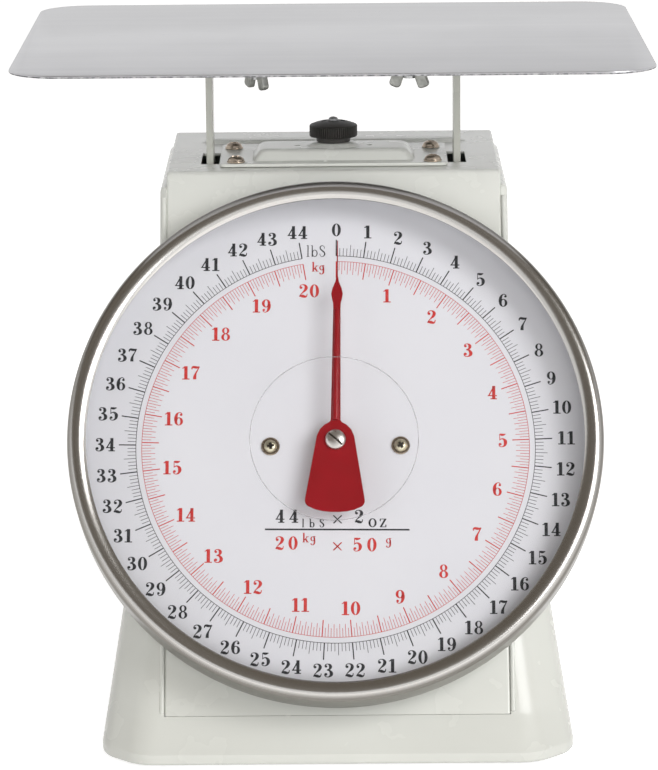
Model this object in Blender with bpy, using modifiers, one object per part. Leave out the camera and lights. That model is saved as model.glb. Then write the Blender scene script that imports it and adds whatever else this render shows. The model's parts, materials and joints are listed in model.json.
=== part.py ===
"""A mechanical platform scale: a flat plate on two posts, hung from two coil springs in a wedge
housing, with a rack and pinion that turns the pointer of a large round dial.

Lengths are in metres and +Z is up. The dial faces -Y. The origin is on the table, in the middle
of the bounding box. The housing's flat top and the plate are centred on the empty named bench,
and the dial's pieces on the empty named dial_axis, whose Z axis points out of the dial.
"""
from math import acos, asin, atan2, cos, degrees, pi, radians, sin, sqrt, tan

import bmesh
import bpy
from mathutils import Matrix, Vector

# Fits
seat_gap = 0.0003
seam_gap = 0.0004
overrun = 0.003
running_gap = 0.0003

# Wedge housing: its section in the YZ plane and its width
slope = radians(28.0)
foot_height = 0.0015
housing_height = 0.224
top_depth = 0.1052
cover_width = 0.1404
face_foot = 0.0192
cover_sheet = 0.0010
cover_bend = 0.0035
cover_flange = 0.008
cover_edge_round = 0.0016

# Base shell: side walls beside the cover, flaring to a skirt
shell_sheet = 0.0010
wall_reach = 0.0028
wall_drop = 0.0020
wall_curl = 0.0018
wall_corner = 0.0030
flare_height = 0.147
rim_reach = 0.0259
rim_band = 0.0045
rim_round = 0.0015
rim_corner = 0.022
rim_flange = 0.0235
skirt_flare = 0.0105

# Bottom plate and feet
bottom_sheet = 0.0010
bottom_margin = 0.003
foot_radius = 0.0085
foot_taper = 0.0005
foot_inset = 0.0160
foot_stem = 0.0022
foot_barb = 0.0032
foot_barb_length = 0.0024

# Platform plate, on two posts bent from one strip
plate_width = 0.265
plate_depth = 0.2212
plate_corner = 0.022
plate_sheet = 0.0012
plate_rise = 0.0496
post_spacing = 0.1050
post_sheet = 0.0030
post_depth = 0.0170
post_bend = 0.0045
post_length = 0.204
mech_setback = 0.024

# Plate fixings under the web of the strip
stud_spacing = 0.065
stud_radius = 0.0025
stud_length = 0.0135
nut_hub_radius = 0.0052
nut_hub_tip_radius = 0.0042
nut_hub_height = 0.0045
wing_thickness = 0.0032
wing_half_width = 0.0027
wing_root = 0.0035
wing_tip = 0.0082
wing_drop = 0.0127
wing_root_drop = 0.0026
wing_edge_share = 0.22
left_nut_turn = radians(52.0)
right_nut_turn = radians(14.0)

# Slots, bracket and rib on the housing's top
slot_width = 0.0078
slot_depth = 0.0280
slot_lead = 0.0010
bracket_length = 0.0964
bracket_front = 0.0195
bracket_back = 0.0330
bracket_sheet = 0.0013
plateau_height = 0.0062
plateau_foot_length = 0.0690
plateau_length = 0.0620
plateau_front = 0.0106
plateau_back = 0.0128
plateau_front_run = 0.0016
plateau_back_run = 0.0030
boss_radius = 0.0120
boss_top_radius = 0.0082
boss_height = 0.0016
bracket_screw_x = 0.0420
bracket_screw_front = 0.0150
bracket_screw_back = 0.0205
bracket_screw_radius = 0.0037
bracket_screw_head = 0.0024
bracket_screw_shank = 0.0018
bracket_screw_length = 0.0075
index_hole_radius = 0.0013
index_hole_x = 0.0153
rib_margin = 0.0112
rib_depth = 0.013
rib_height = 0.0017
rib_start = 0.0176
rib_round = 0.0012

# Zero knob and the spring hanger that it raises
knob_radius = 0.0102
knob_ridges = 44
knob_ridge_depth = 0.0003
knob_collar_radius = 0.0073
knob_collar_height = 0.0020
knob_band_height = 0.0050
knob_dome_height = 0.0019
knob_dome_shares = ((0, 1), (0.49, 0.88), (0.93, 0.32))
knob_bore_depth = 0.0055
knob_screw_radius = 0.0025
knob_screw_head = 0.0014
knob_screw_shank = 0.0010
adjuster_radius = 0.0030
adjuster_tail = 0.0060
hanger_drop = 0.030
hanger_thickness = 0.0040
hanger_length = 0.0800
hanger_depth = 0.0150
hanger_boss_radius = 0.0062
hanger_boss_height = 0.0070

# Springs and their plugs
spring_spacing = 0.0600
spring_radius = 0.0085
spring_wire = 0.0014
spring_turns = 17
spring_turn_points = 8
plug_clearance = 0.0006
plug_length = 0.0095
plug_flange_radius = 0.0096
plug_flange = 0.0016
plug_shank = 0.0025
plug_rivet = 0.0036
plug_rivet_length = 0.0014

# Cross beam between the posts, and the arm that drives the rack
beam_drop = 0.102
beam_thickness = 0.0040
beam_depth = 0.0150
tongue_depth = 0.0080
tongue_length = 0.0020
pin_head_radius = 0.0036
pin_head = 0.0012
arm_sheet = 0.0020
arm_half_height = 0.0052
arm_margin = 0.0045
arm_root = 0.0060

# Check links that keep the plate level, and their bracket on the back wall
link_length = 0.0600
link_upper_drop = 0.041
link_lower_drop = 0.140
link_sheet = 0.0020
link_half_height = 0.0056
link_side_gap = 0.0012
link_tie_radius = 0.0030
link_tie_share = 0.25
link_pin_radius = 0.0020
link_pin_play = 0.0010
link_rod_radius = 0.0025
link_rod_head = 0.0040
link_rod_head_length = 0.0010
mount_sheet = 0.0020
mount_half_width = 0.0490
mount_ear_depth = 0.0205
mount_bend = 0.0030
mount_margin = 0.0120
mount_window_margin = 0.0160
mount_screw_radius = 0.0035
mount_screw_head = 0.0020
mount_screw_shank = 0.0016
mount_screw_length = 0.0065
mount_screw_inset = 0.0080

# Side screws through the base shell into the cover's flanges
side_screw_rise = 0.0060
side_screw_radius = 0.0034
side_screw_head = 0.0018
side_screw_shank = 0.0014
side_screw_length = 0.0075

# Dial: its centre, down the slope from the housing's front top edge, and its height off the face
dial_drop = 0.1220
dial_standoff = 0.0100
dial_steps = 64
dial_plate_radius = 0.1064
dial_plate_sheet = 0.0008
dial_hole_radius = 0.0065
dial_screw_x = 0.0267
dial_screw_radius = 0.0036
dial_screw_head = 0.0020
dial_screw_shank = 0.0018
dial_screw_spare = 0.0015
pip_radius = 0.0050
pan_sheet = 0.0008
pan_seat_radius = 0.0560
pan_ledge_radius = 0.0640
pan_wall_height = 0.0108
bezel_radius = 0.1092
bezel_sheet = 0.0008
bezel_back = 0.0015
bezel_crest = 0.0180
bezel_crest_round = 0.0038
bezel_lip_radius = 0.1012
bezel_lip_height = 0.0164
lens_radius = 0.1052
lens_thickness = 0.0018
lens_height = 0.0135
seal_inner_radius = 0.1030
seal_thickness = 0.0020

# Pointer, hub and shaft
pointer_height = 0.0098
pointer_sheet = 0.0006
pointer_reach = 0.0850
pointer_tip = 0.0003
pointer_diamond_far = 0.0677
pointer_diamond_mid = 0.0622
pointer_diamond_near = 0.0579
pointer_diamond_half = 0.0024
pointer_neck = 0.0015
pointer_root = 0.0020
pointer_shoulder = 0.0079
pointer_shoulder_end = radians(12.0)
pointer_tail_half = 0.0126
pointer_tail = 0.0295
pointer_tail_round = 0.0030
pointer_tail_crown = 0.0008
hub_radius = 0.0050
hub_length = 0.0072
hub_screw_radius = 0.0042
hub_screw_head = 0.0022
hub_screw_shank = 0.0010
hub_screw_length = 0.0030
shaft_radius = 0.0015
bush_radius = 0.0050
bush_flange_radius = 0.0080
bush_flange = 0.0015
bush_length = 0.0062

# Rack and pinion
full_load_angle = radians(350.0)
tooth_module = 0.0005
pinion_teeth = 12
pinion_width = 0.0055
tooth_pressure = radians(20.0)
tooth_play = 0.00012
tooth_addendum_share = 0.7
tooth_dedendum_share = 1.15
tooth_flank_shares = (0, 0.35, 0.7, 1)
gear_depth = 0.0550
rack_width = 0.0045
rack_back = 0.0080
rack_spare = 0.0040
rack_pin_offset = 0.0340
rack_head = 0.0045
rack_pin_radius = 0.0015
rack_pin_play = 0.0004
rack_pin_socket = 0.0028
rack_pin_head = 0.0026
rack_pin_head_length = 0.0010
rack_side_gap = 0.0014
guide_radius = 0.0020
guide_gap = 0.0004
guide_neck = 0.0012
guide_head = 0.0032
guide_head_length = 0.0010

# Bearing frame behind the dial
frame_sheet = 0.0020
frame_half_width = 0.0170
frame_foot = 0.0190
frame_depth = 0.0180
frame_bend = 0.0030
frame_web_gap = 0.0060

# Screw heads, as shares of their radius and height
pan_head_shares = ((0, 1), (0.55, 0.92), (0.88, 0.62), (1, 0.45), (1, 0))

# Round pieces
fine_steps = 24
small_steps = 12
corner_steps = 4

# Derived places, in the bench frame
cover_half = cover_width / 2
mech_y = -mech_setback
rib_half = cover_half - rib_margin
side_screw_height = flare_height + side_screw_rise
face_normal = Vector((0, -cos(slope), sin(slope)))
face_up = Vector((0, sin(slope), cos(slope)))
hanger_height = housing_height - hanger_drop
beam_height = housing_height - beam_drop
link_upper_height = housing_height - link_upper_drop
link_lower_height = housing_height - link_lower_drop
plate_top = housing_height + plate_rise
web_top = plate_top - plate_sheet - seat_gap
web_bottom = web_top - post_sheet
flange_top = housing_height + seat_gap + bracket_sheet
plateau_top = housing_height + plateau_height
boss_top = plateau_top + boss_height
back_inner = top_depth / 2 - cover_sheet
pitch_radius = tooth_module * pinion_teeth / 2
rack_travel = pitch_radius * full_load_angle
platform_travel = rack_travel * cos(slope)
dial_centre = Vector((0, -top_depth / 2, housing_height)) - face_up * dial_drop + face_normal * dial_standoff
bezel_reach = max(bezel_radius * sin(slope) + (bezel_crest - bezel_crest_round) * cos(slope),
                  (bezel_radius - bezel_crest_round) * sin(slope) + bezel_crest * cos(slope))

parts = bpy.data.collections.new("platform_scale")
cutters = bpy.data.collections.new("cutters")


def clear_scene():
    for item in list(bpy.data.objects):
        bpy.data.objects.remove(item, do_unlink=True)
    bpy.context.scene.collection.children.link(parts)
    bpy.context.scene.collection.children.link(cutters)


def empty(name, location, rotation=(0, 0, 0), parent=None):
    guide = bpy.data.objects.new(name, None)
    parts.objects.link(guide)
    guide.location = location
    guide.rotation_euler = rotation
    guide.parent = parent
    guide.hide_render = True
    return guide


def new_object(name, mesh):
    made = bpy.data.objects.new(name, mesh)
    parts.objects.link(made)
    return made


def place(piece, parent, location=(0, 0, 0), rotation=(0, 0, 0)):
    piece.location = location
    piece.rotation_euler = rotation
    piece.parent = parent
    return piece


def as_tool(piece):
    """Makes an object a cutter, or a shape that a Boolean adds."""
    parts.objects.unlink(piece)
    cutters.objects.link(piece)
    piece.hide_render = True
    piece.display_type = 'WIRE'
    return piece


def boolean(piece, tool, operation):
    as_tool(tool)
    step = piece.modifiers.new(operation.lower(), 'BOOLEAN')
    step.operation = operation
    step.solver = 'EXACT'
    step.object = tool


def cut(piece, tool):
    boolean(piece, tool, 'DIFFERENCE')


def fuse(piece, tool):
    boolean(piece, tool, 'UNION')


def finish(piece, material, smooth=False):
    piece.data.materials.clear()
    piece.data.materials.append(material)
    if smooth:
        piece.data.shade_smooth()
        piece.data.set_sharp_from_angle(angle=radians(35.0))
    return piece


def paint(name, colour, roughness, metallic=0.0, alpha=1.0):
    material = bpy.data.materials.new(name)
    material.use_nodes = True
    shader = material.node_tree.nodes["Principled BSDF"]
    shader.inputs["Base Color"].default_value = (*colour, 1.0)
    shader.inputs["Roughness"].default_value = roughness
    shader.inputs["Metallic"].default_value = metallic
    shader.inputs["Alpha"].default_value = alpha
    material.diffuse_color = (*colour, alpha)
    return material


# Outlines

def arc(centre_x, centre_y, radius, start, end, steps):
    """Points along an arc, angles in radians."""
    turn = (end - start) / steps
    return [(centre_x + radius * cos(start + i * turn), centre_y + radius * sin(start + i * turn))
            for i in range(steps + 1)]


def circle(centre_x, centre_y, radius, steps=small_steps):
    return arc(centre_x, centre_y, radius, 0, 2 * pi, steps)[:-1]


def rounded_rectangle(half_x, half_y, radius, steps=corner_steps):
    points = []
    for quarter, (side_x, side_y) in enumerate(((1, 1), (-1, 1), (-1, -1), (1, -1))):
        start = quarter * pi / 2
        points += arc(side_x * (half_x - radius), side_y * (half_y - radius), radius,
                      start, start + pi / 2, steps)
    return points


def fillet(points, radii, closed=True, steps=corner_steps):
    """A polygon or line with its corners rounded to the given radii."""
    rounded = []
    count = len(points)
    for i, point in enumerate(points):
        corner = Vector(point)
        radius = radii[i]
        if radius <= 0 or (not closed and i in (0, count - 1)):
            rounded.append(tuple(corner))
            continue
        before = (Vector(points[i - 1]) - corner).normalized()
        after = (Vector(points[(i + 1) % count]) - corner).normalized()
        half_angle = before.angle(after) / 2
        middle = corner + (before + after).normalized() * radius / sin(half_angle)
        first = corner + before * radius / tan(half_angle) - middle
        last = corner + after * radius / tan(half_angle) - middle
        start = atan2(first.y, first.x)
        turn = (atan2(last.y, last.x) - start + pi) % (2 * pi) - pi
        rounded += arc(middle.x, middle.y, radius, start, start + turn, steps)
    return rounded


def offset_line(points, distance):
    """An open line moved to its left by a distance, with mitred corners."""
    moved = []
    for i, point in enumerate(points):
        sides = []
        if i > 0:
            run = (Vector(point) - Vector(points[i - 1])).normalized()
            sides.append(Vector((-run.y, run.x)))
        if i < len(points) - 1:
            run = (Vector(points[i + 1]) - Vector(point)).normalized()
            sides.append(Vector((-run.y, run.x)))
        side = sum(sides, Vector((0, 0))).normalized()
        moved.append(tuple(Vector(point) + side * distance / side.dot(sides[0])))
    return moved


def bent_strip(line, thickness, bend, steps=corner_steps):
    """The edge outline of a strip bent along a line, with the bend's radius at mid thickness."""
    turns = [0] * len(line)
    for i in range(1, len(line) - 1):
        before = Vector(line[i]) - Vector(line[i - 1])
        after = Vector(line[i + 1]) - Vector(line[i])
        turns[i] = 1 if before.x * after.y - before.y * after.x > 0 else -1
    half = thickness / 2
    left_bends = [bend - turn * half if turn else 0 for turn in turns]
    right_bends = [bend + turn * half if turn else 0 for turn in turns]
    left = fillet(offset_line(line, half), left_bends, closed=False, steps=steps)
    right = fillet(offset_line(line, -half), right_bends, closed=False, steps=steps)
    return left + right[::-1]


# Solids

def tidy(mesh):
    """Welds a mesh and merges its coplanar triangles."""
    shape = bmesh.new()
    shape.from_mesh(mesh)
    bmesh.ops.remove_doubles(shape, verts=shape.verts, dist=seat_gap / 100)
    bmesh.ops.dissolve_limit(shape, angle_limit=radians(0.5), verts=shape.verts, edges=shape.edges)
    bmesh.ops.recalc_face_normals(shape, faces=shape.faces)
    shape.to_mesh(mesh)
    shape.free()
    return mesh


def flat(name, loops, thickness):
    """A flat piece in the XY plane, centred on it: the first loop is its edge, the others holes."""
    curve = bpy.data.curves.new(name, 'CURVE')
    curve.dimensions = '2D'
    curve.fill_mode = 'BOTH'
    curve.extrude = thickness / 2
    for loop in loops:
        spline = curve.splines.new('POLY')
        spline.points.add(len(loop) - 1)
        for point, (x, y) in zip(spline.points, loop):
            point.co = (x, y, 0, 1)
        spline.use_cyclic_u = True
    drawn = new_object(name + "_curve", curve)
    bpy.context.view_layer.update()
    mesh = bpy.data.meshes.new_from_object(drawn.evaluated_get(bpy.context.evaluated_depsgraph_get()))
    bpy.data.objects.remove(drawn, do_unlink=True)
    return new_object(name, tidy(mesh))


def turned(name, profile, steps=fine_steps, closed=False):
    """A turned piece on the Z axis: the profile runs down its outer side, top to bottom."""
    mesh = bpy.data.meshes.new(name)
    edges = [(i, i + 1) for i in range(len(profile) - 1)]
    if closed:
        edges.append((len(profile) - 1, 0))
    mesh.from_pydata([(radius, 0, height) for radius, height in profile], edges, [])
    piece = new_object(name, mesh)
    screw = piece.modifiers.new("turn", 'SCREW')
    screw.axis = 'Z'
    screw.steps = steps
    screw.render_steps = steps
    screw.use_merge_vertices = True
    screw.merge_threshold = seat_gap / 100
    screw.use_normal_calculate = False
    screw.use_smooth_shade = False
    return piece


def rod(name, radius, low, high, steps=small_steps):
    """A round bar on the Z axis between two heights."""
    mesh = bpy.data.meshes.new(name)
    shape = bmesh.new()
    bmesh.ops.create_cone(shape, cap_ends=True, segments=steps, radius1=radius, radius2=radius,
                          depth=high - low)
    bmesh.ops.translate(shape, verts=shape.verts, vec=(0, 0, (low + high) / 2))
    shape.to_mesh(mesh)
    shape.free()
    return new_object(name, mesh)


def block(name, low, high):
    """A box between two corners."""
    mesh = bpy.data.meshes.new(name)
    shape = bmesh.new()
    bmesh.ops.create_cube(shape, size=1)
    size = [high[i] - low[i] for i in range(3)]
    bmesh.ops.scale(shape, verts=shape.verts, vec=size)
    bmesh.ops.translate(shape, verts=shape.verts, vec=[(low[i] + high[i]) / 2 for i in range(3)])
    shape.to_mesh(mesh)
    shape.free()
    return new_object(name, mesh)


def prism(name, outline, half_width):
    """An outline in the YZ plane, carried along X to both sides."""
    mesh = bpy.data.meshes.new(name)
    shape = bmesh.new()
    ring = [shape.verts.new((-half_width, y, z)) for y, z in outline]
    side = shape.faces.new(ring)
    grown = bmesh.ops.extrude_face_region(shape, geom=[side])
    moved = [item for item in grown["geom"] if isinstance(item, bmesh.types.BMVert)]
    bmesh.ops.translate(shape, verts=moved, vec=(2 * half_width, 0, 0))
    bmesh.ops.recalc_face_normals(shape, faces=shape.faces)
    shape.to_mesh(mesh)
    shape.free()
    return new_object(name, mesh)


def loft(name, rings):
    """An open surface through rings of equal counts, listed from the bottom up."""
    mesh = bpy.data.meshes.new(name)
    shape = bmesh.new()
    rows = [[shape.verts.new(point) for point in ring] for ring in rings]
    count = len(rings[0])
    for low, high in zip(rows, rows[1:]):
        for i in range(count):
            shape.faces.new((low[i], low[(i + 1) % count], high[(i + 1) % count], high[i]))
    shape.to_mesh(mesh)
    shape.free()
    return new_object(name, mesh)


def thicken(piece, thickness, exact=False):
    """Gives a surface its wall, inwards; exact keeps every face's offset where three planes meet."""
    wall = piece.modifiers.new("sheet", 'SOLIDIFY')
    wall.thickness = thickness
    wall.offset = -1.0
    wall.use_even_offset = True
    if exact:
        wall.solidify_mode = 'NON_MANIFOLD'
        wall.nonmanifold_thickness_mode = 'CONSTRAINTS'
        wall.nonmanifold_boundary_mode = 'FLAT'
        wall.nonmanifold_merge_threshold = seat_gap / 100
    return piece


def copies(make, names, spots, material, parent, turns=None):
    """One object for each name and spot, each from the function make."""
    for i, (name, spot) in enumerate(zip(names, spots)):
        piece = make(name)
        place(piece, parent, spot, turns[i] if turns else (0, 0, 0))
        finish(piece, material, smooth=True)


def hole(piece, radius, location, rotation=(0, 0, 0), reach=overrun, parent=None, steps=small_steps):
    """Cuts a round hole whose cutter reaches to both sides of its location."""
    tool = rod(piece.name + "_hole", radius, -reach, reach, steps)
    place(tool, parent, location, rotation)
    cut(piece, tool)


def pan_head(name, head_radius, head_height, shank_radius, shank_length, steps=small_steps):
    """A pan head screw: the head sits on z = 0 and the shank runs down."""
    profile = [(head_radius * across, head_height * up) for across, up in pan_head_shares]
    profile += [(shank_radius, 0), (shank_radius, -shank_length), (0, -shank_length)]
    return turned(name, profile, steps)


along_x = (0, pi / 2, 0)
along_y = (pi / 2, 0, 0)
upright_xz = (pi / 2, 0, 0)
upright_yz = (pi / 2, 0, pi / 2)


# Housing

def face_y(height):
    """Y of the sloping front face at a height."""
    return -top_depth / 2 - (housing_height - height) * tan(slope)


rim_top = foot_height + rim_band
rim_front = face_y(face_foot) - skirt_flare
rim_back = top_depth / 2 + skirt_flare
rim_half = cover_half + rim_reach


def shell_section(height):
    """Half width, front, back and corner radius of the base shell's outside at a height."""
    rise = min(max((height - rim_top) / (flare_height - rim_top), 0), 1)
    half = rim_half + (cover_half + wall_reach - rim_half) * rise
    radius = rim_corner + (wall_corner - rim_corner) * rise
    spread = min(max((height - rim_top) / (face_foot - rim_top), 0), 1)
    front = face_y(height) if height >= face_foot else rim_front + (face_y(face_foot) - rim_front) * spread
    back = rim_back + (top_depth / 2 - rim_back) * spread
    return half, front, back, radius


def shell_ring(height, inset=0.0):
    """One level ring of points on the base shell, moved inwards by an inset."""
    half, front, back, radius = shell_section(height)
    middle = (front + back) / 2
    outline = rounded_rectangle(half - inset, (back - front) / 2 - inset, max(radius - inset, rim_round))
    return [(x, middle + y, height) for x, y in outline]


def base_shell(bench, enamel):
    wall_top = housing_height - wall_drop
    levels = [foot_height + rim_round, rim_top, face_foot]
    levels += [face_foot + (flare_height - face_foot) * i / 3 for i in (1, 2, 3)]
    levels += [wall_top - wall_curl]
    rings = [shell_ring(foot_height, rim_flange), shell_ring(foot_height, rim_round)]
    rings += [shell_ring(level) for level in levels]
    rings += [[(x, y, wall_top - wall_curl + wall_curl * sin(pi / 4)) for x, y, z in
               shell_ring(wall_top - wall_curl, wall_curl * (1 - cos(pi / 4)))],
              [(x, y, wall_top) for x, y, z in shell_ring(wall_top - wall_curl, wall_curl)]]
    shell = thicken(loft("base_shell", rings), shell_sheet)
    place(shell, bench)
    cut_half = cover_half + seam_gap
    sill = face_foot - seam_gap - cover_sheet * sin(slope)
    window = block("base_shell_window", (-cut_half, rim_front - overrun, sill),
                   (cut_half, rim_back + overrun, housing_height + overrun))
    place(window, bench)
    cut(shell, window)
    for x, y in foot_places():
        hole(shell, foot_stem + seat_gap, (x, y, foot_height), parent=bench)
    for side in (-1, 1):
        spot = (side * (cover_half + wall_reach), side_screw_y, side_screw_height)
        hole(shell, side_screw_shank + seat_gap, spot, along_x, parent=bench)
    return finish(shell, enamel, smooth=True)


side_screw_y = top_depth / 2 - cover_flange / 2


def housing_section(inset):
    """The side outline of the cover, moved inwards by an inset, from the face's foot over the top."""
    line = [(face_y(face_foot), face_foot), (-top_depth / 2, housing_height),
            (top_depth / 2, housing_height), (top_depth / 2, face_foot)]
    return offset_line(line, -inset)


def cover(bench, dial, enamel):
    line = housing_section(0)
    outline = fillet(line, [0, cover_bend, cover_bend, 0])
    skin = prism("housing_cover", outline, cover_half)
    shape = bmesh.new()
    shape.from_mesh(skin.data)
    floor = [face for face in shape.faces if face.normal.z < -0.9]
    bmesh.ops.delete(shape, geom=floor, context='FACES_ONLY')
    edges = [edge for edge in shape.edges if len(edge.link_faces) == 2
             and any(abs(face.normal.x) > 0.9 for face in edge.link_faces)]
    bmesh.ops.bevel(shape, geom=edges, offset=cover_edge_round, segments=3, profile=0.5, affect='EDGES')
    shape.to_mesh(skin.data)
    shape.free()
    thicken(skin, cover_sheet, exact=True)
    place(skin, bench)
    core_line = housing_section(cover_flange)
    foot = face_foot - overrun
    core_line[0] = (face_y(foot) + cover_flange / cos(slope), foot)
    core_line[3] = (core_line[3][0], foot)
    core = prism("housing_cover_core", core_line, cover_half + overrun)
    place(core, bench)
    cut(skin, core)
    post_x = post_spacing / 2
    slot_front = mech_y - post_depth / 2 - slot_lead
    for side in (-1, 1):
        near = side * post_x - slot_width / 2
        slot = block("housing_cover_slot", (near, slot_front, housing_height - overrun),
                     (near + slot_width, slot_front + slot_depth, housing_height + overrun))
        place(slot, bench)
        cut(skin, slot)
        spot = (side * cover_half, side_screw_y, side_screw_height)
        hole(skin, side_screw_shank + seat_gap, spot, along_x, parent=bench)
        hole(skin, dial_screw_shank + seat_gap, (side * dial_screw_x, 0, -dial_standoff), parent=dial)
    rib = block("housing_cover_rib", (-rib_half, rib_start, housing_height - cover_sheet / 2),
                (rib_half, rib_start + rib_depth, housing_height + rib_height))
    soften = rib.modifiers.new("round", 'BEVEL')
    soften.width = rib_round
    soften.segments = 2
    place(rib, bench)
    fuse(skin, rib)
    for x, y in bracket_screw_places():
        hole(skin, bracket_screw_shank + seat_gap, (x, y, housing_height), parent=bench)
    hole(skin, adjuster_radius + seat_gap * 2, (0, mech_y, housing_height), parent=bench)
    hole(skin, bush_radius + seat_gap, (0, 0, -dial_standoff), parent=dial)
    for height in mount_screw_heights():
        hole(skin, mount_screw_shank + seat_gap, (0, top_depth / 2, height), along_y, parent=bench)
    return finish(skin, enamel, smooth=True)


def foot_places():
    half = rim_half - foot_inset - rim_round
    front = rim_front + foot_inset + rim_round
    back = rim_back - foot_inset - rim_round
    return [(side * half, y) for side in (-1, 1) for y in (front, back)]


def bottom_plate(bench, steel):
    inset = shell_sheet + bottom_margin
    outline = [(x, y) for x, y, z in shell_ring(foot_height, inset)]
    holes = [circle(x, y, foot_stem + seat_gap) for x, y in foot_places()]
    sheet = flat("bottom_plate", [outline] + holes, bottom_sheet)
    place(sheet, bench, (0, 0, foot_height + shell_sheet + seat_gap + bottom_sheet / 2))
    return finish(sheet, steel)


corner_names = ("front_left", "rear_left", "front_right", "rear_right")


def feet(bench, rubber):
    """Push-in feet: a stem through the shell's flange and the bottom plate, with a barb above."""
    seat = foot_height - seat_gap
    held = foot_height + shell_sheet + seat_gap + bottom_sheet + seat_gap
    profile = [(0, held + foot_barb_length), (foot_stem, held + foot_barb_length), (foot_barb, held)]
    profile += [(foot_stem, held), (foot_stem, seat)]
    profile += [(foot_radius, seat), (foot_radius - foot_taper, 0), (0, 0)]
    copies(lambda name: turned(name, profile, small_steps), ["foot_" + corner for corner in corner_names],
           [(x, y, 0) for x, y in foot_places()], rubber, bench)


def side_screws(bench, steel):
    seat = cover_half + wall_reach + seat_gap
    copies(lambda name: pan_head(name, side_screw_radius, side_screw_head, side_screw_shank,
                                 side_screw_length),
           ("side_screw_left", "side_screw_right"),
           [(side * seat, side_screw_y, side_screw_height) for side in (-1, 1)], steel, bench,
           [(0, side * pi / 2, 0) for side in (-1, 1)])


# Top bracket and zero knob

def bracket_screw_places():
    return [(side * bracket_screw_x, mech_y + y) for side in (-1, 1)
            for y in (-bracket_screw_front, bracket_screw_back)]


def top_bracket(bench, enamel):
    front = mech_y - bracket_front
    back = mech_y + bracket_back

    def ring(half, low, high, height):
        return [(-half, low, height), (half, low, height), (half, high, height), (-half, high, height)]

    top_front = mech_y - plateau_front
    top_back = mech_y + plateau_back
    foot_front = top_front - plateau_front_run
    foot_back = top_back + plateau_back_run
    rings = [ring(bracket_length / 2, front, back, flange_top),
             ring(plateau_foot_length / 2, foot_front, foot_back, flange_top),
             ring(plateau_length / 2, top_front, top_back, plateau_top)]
    mesh = bpy.data.meshes.new("top_bracket")
    shape = bmesh.new()
    rows = [[shape.verts.new(point) for point in ring_points] for ring_points in rings]
    for low, high in zip(rows, rows[1:]):
        for i in range(len(low)):
            shape.faces.new((low[i], low[(i + 1) % 4], high[(i + 1) % 4], high[i]))
    shape.faces.new(rows[-1])
    shape.to_mesh(mesh)
    shape.free()
    plate = thicken(new_object("top_bracket", mesh), bracket_sheet, exact=True)
    place(plate, bench)
    hole(plate, boss_top_radius - bracket_sheet, (0, mech_y, plateau_top), parent=bench)
    bore = adjuster_radius + running_gap
    sunk = -bracket_sheet / 2
    profile = [(bore, boss_height), (boss_top_radius, boss_height), (boss_radius, 0), (boss_radius, sunk),
               (bore, sunk)]
    boss = turned("top_bracket_boss", profile, closed=True)
    place(boss, bench, (0, mech_y, plateau_top))
    trim = block("top_bracket_trim", (-boss_radius * 2, top_front - boss_radius, plateau_top - overrun),
                 (boss_radius * 2, top_front + seat_gap, boss_top + overrun))
    place(trim, bench)
    cut(boss, trim)
    fuse(plate, boss)
    for side in (-1, 1):
        hole(plate, index_hole_radius, (side * index_hole_x, mech_y, plateau_top), parent=bench)
    for x, y in bracket_screw_places():
        hole(plate, bracket_screw_shank + seat_gap, (x, y, flange_top), parent=bench)
    return finish(plate, enamel)


def bracket_screws(bench, nickel):
    copies(lambda name: pan_head(name, bracket_screw_radius, bracket_screw_head, bracket_screw_shank,
                                 bracket_screw_length),
           ["bracket_screw_" + corner for corner in corner_names],
           [(x, y, flange_top + seat_gap) for x, y in bracket_screw_places()], nickel, bench)


def zero_knob(bench, black, steel):
    base = boss_top + seat_gap
    band_low = knob_collar_height
    band_high = band_low + knob_band_height
    crown = band_high + knob_dome_height
    ridges = []
    for i in range(knob_ridges * 2):
        radius = knob_radius if i % 2 else knob_radius - knob_ridge_depth
        ridges.append((radius * cos(i * pi / knob_ridges), radius * sin(i * pi / knob_ridges)))
    knob = flat("zero_knob", [ridges], knob_band_height)
    knob.data.transform(Matrix.Translation((0, 0, (band_low + band_high) / 2)))
    place(knob, bench, (0, mech_y, base))
    inner = knob_radius - knob_ridge_depth * 3
    profile = [(knob_radius * across, band_high + knob_dome_height * up) for across, up in knob_dome_shares]
    profile += [(inner, band_high), (inner, band_low + knob_ridge_depth),
                (knob_collar_radius, band_low - knob_ridge_depth), (knob_collar_radius, 0), (0, 0)]
    dome = turned("zero_knob_dome", profile)
    place(dome, bench, (0, mech_y, base))
    fuse(knob, dome)
    bore = rod("zero_knob_bore", adjuster_radius + seat_gap, -overrun, knob_bore_depth)
    place(bore, bench, (0, mech_y, base))
    cut(knob, bore)
    hole(knob, knob_screw_shank + seat_gap, (0, mech_y, base + crown), parent=bench,
         reach=knob_dome_height * 3)
    finish(knob, black, smooth=True)
    screw = pan_head("zero_knob_screw", knob_screw_radius, knob_screw_head, knob_screw_shank,
                     crown - knob_bore_depth)
    place(screw, bench, (0, mech_y, base + crown + seat_gap))
    finish(screw, steel, smooth=True)
    adjuster_top = base + knob_bore_depth - seat_gap * 2
    shank = turned("zero_adjuster", [(0, adjuster_top), (adjuster_radius, adjuster_top),
                                     (adjuster_radius, hanger_height - adjuster_tail),
                                     (0, hanger_height - adjuster_tail)], small_steps)
    place(shank, bench, (0, mech_y, 0))
    finish(shank, steel, smooth=True)


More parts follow.
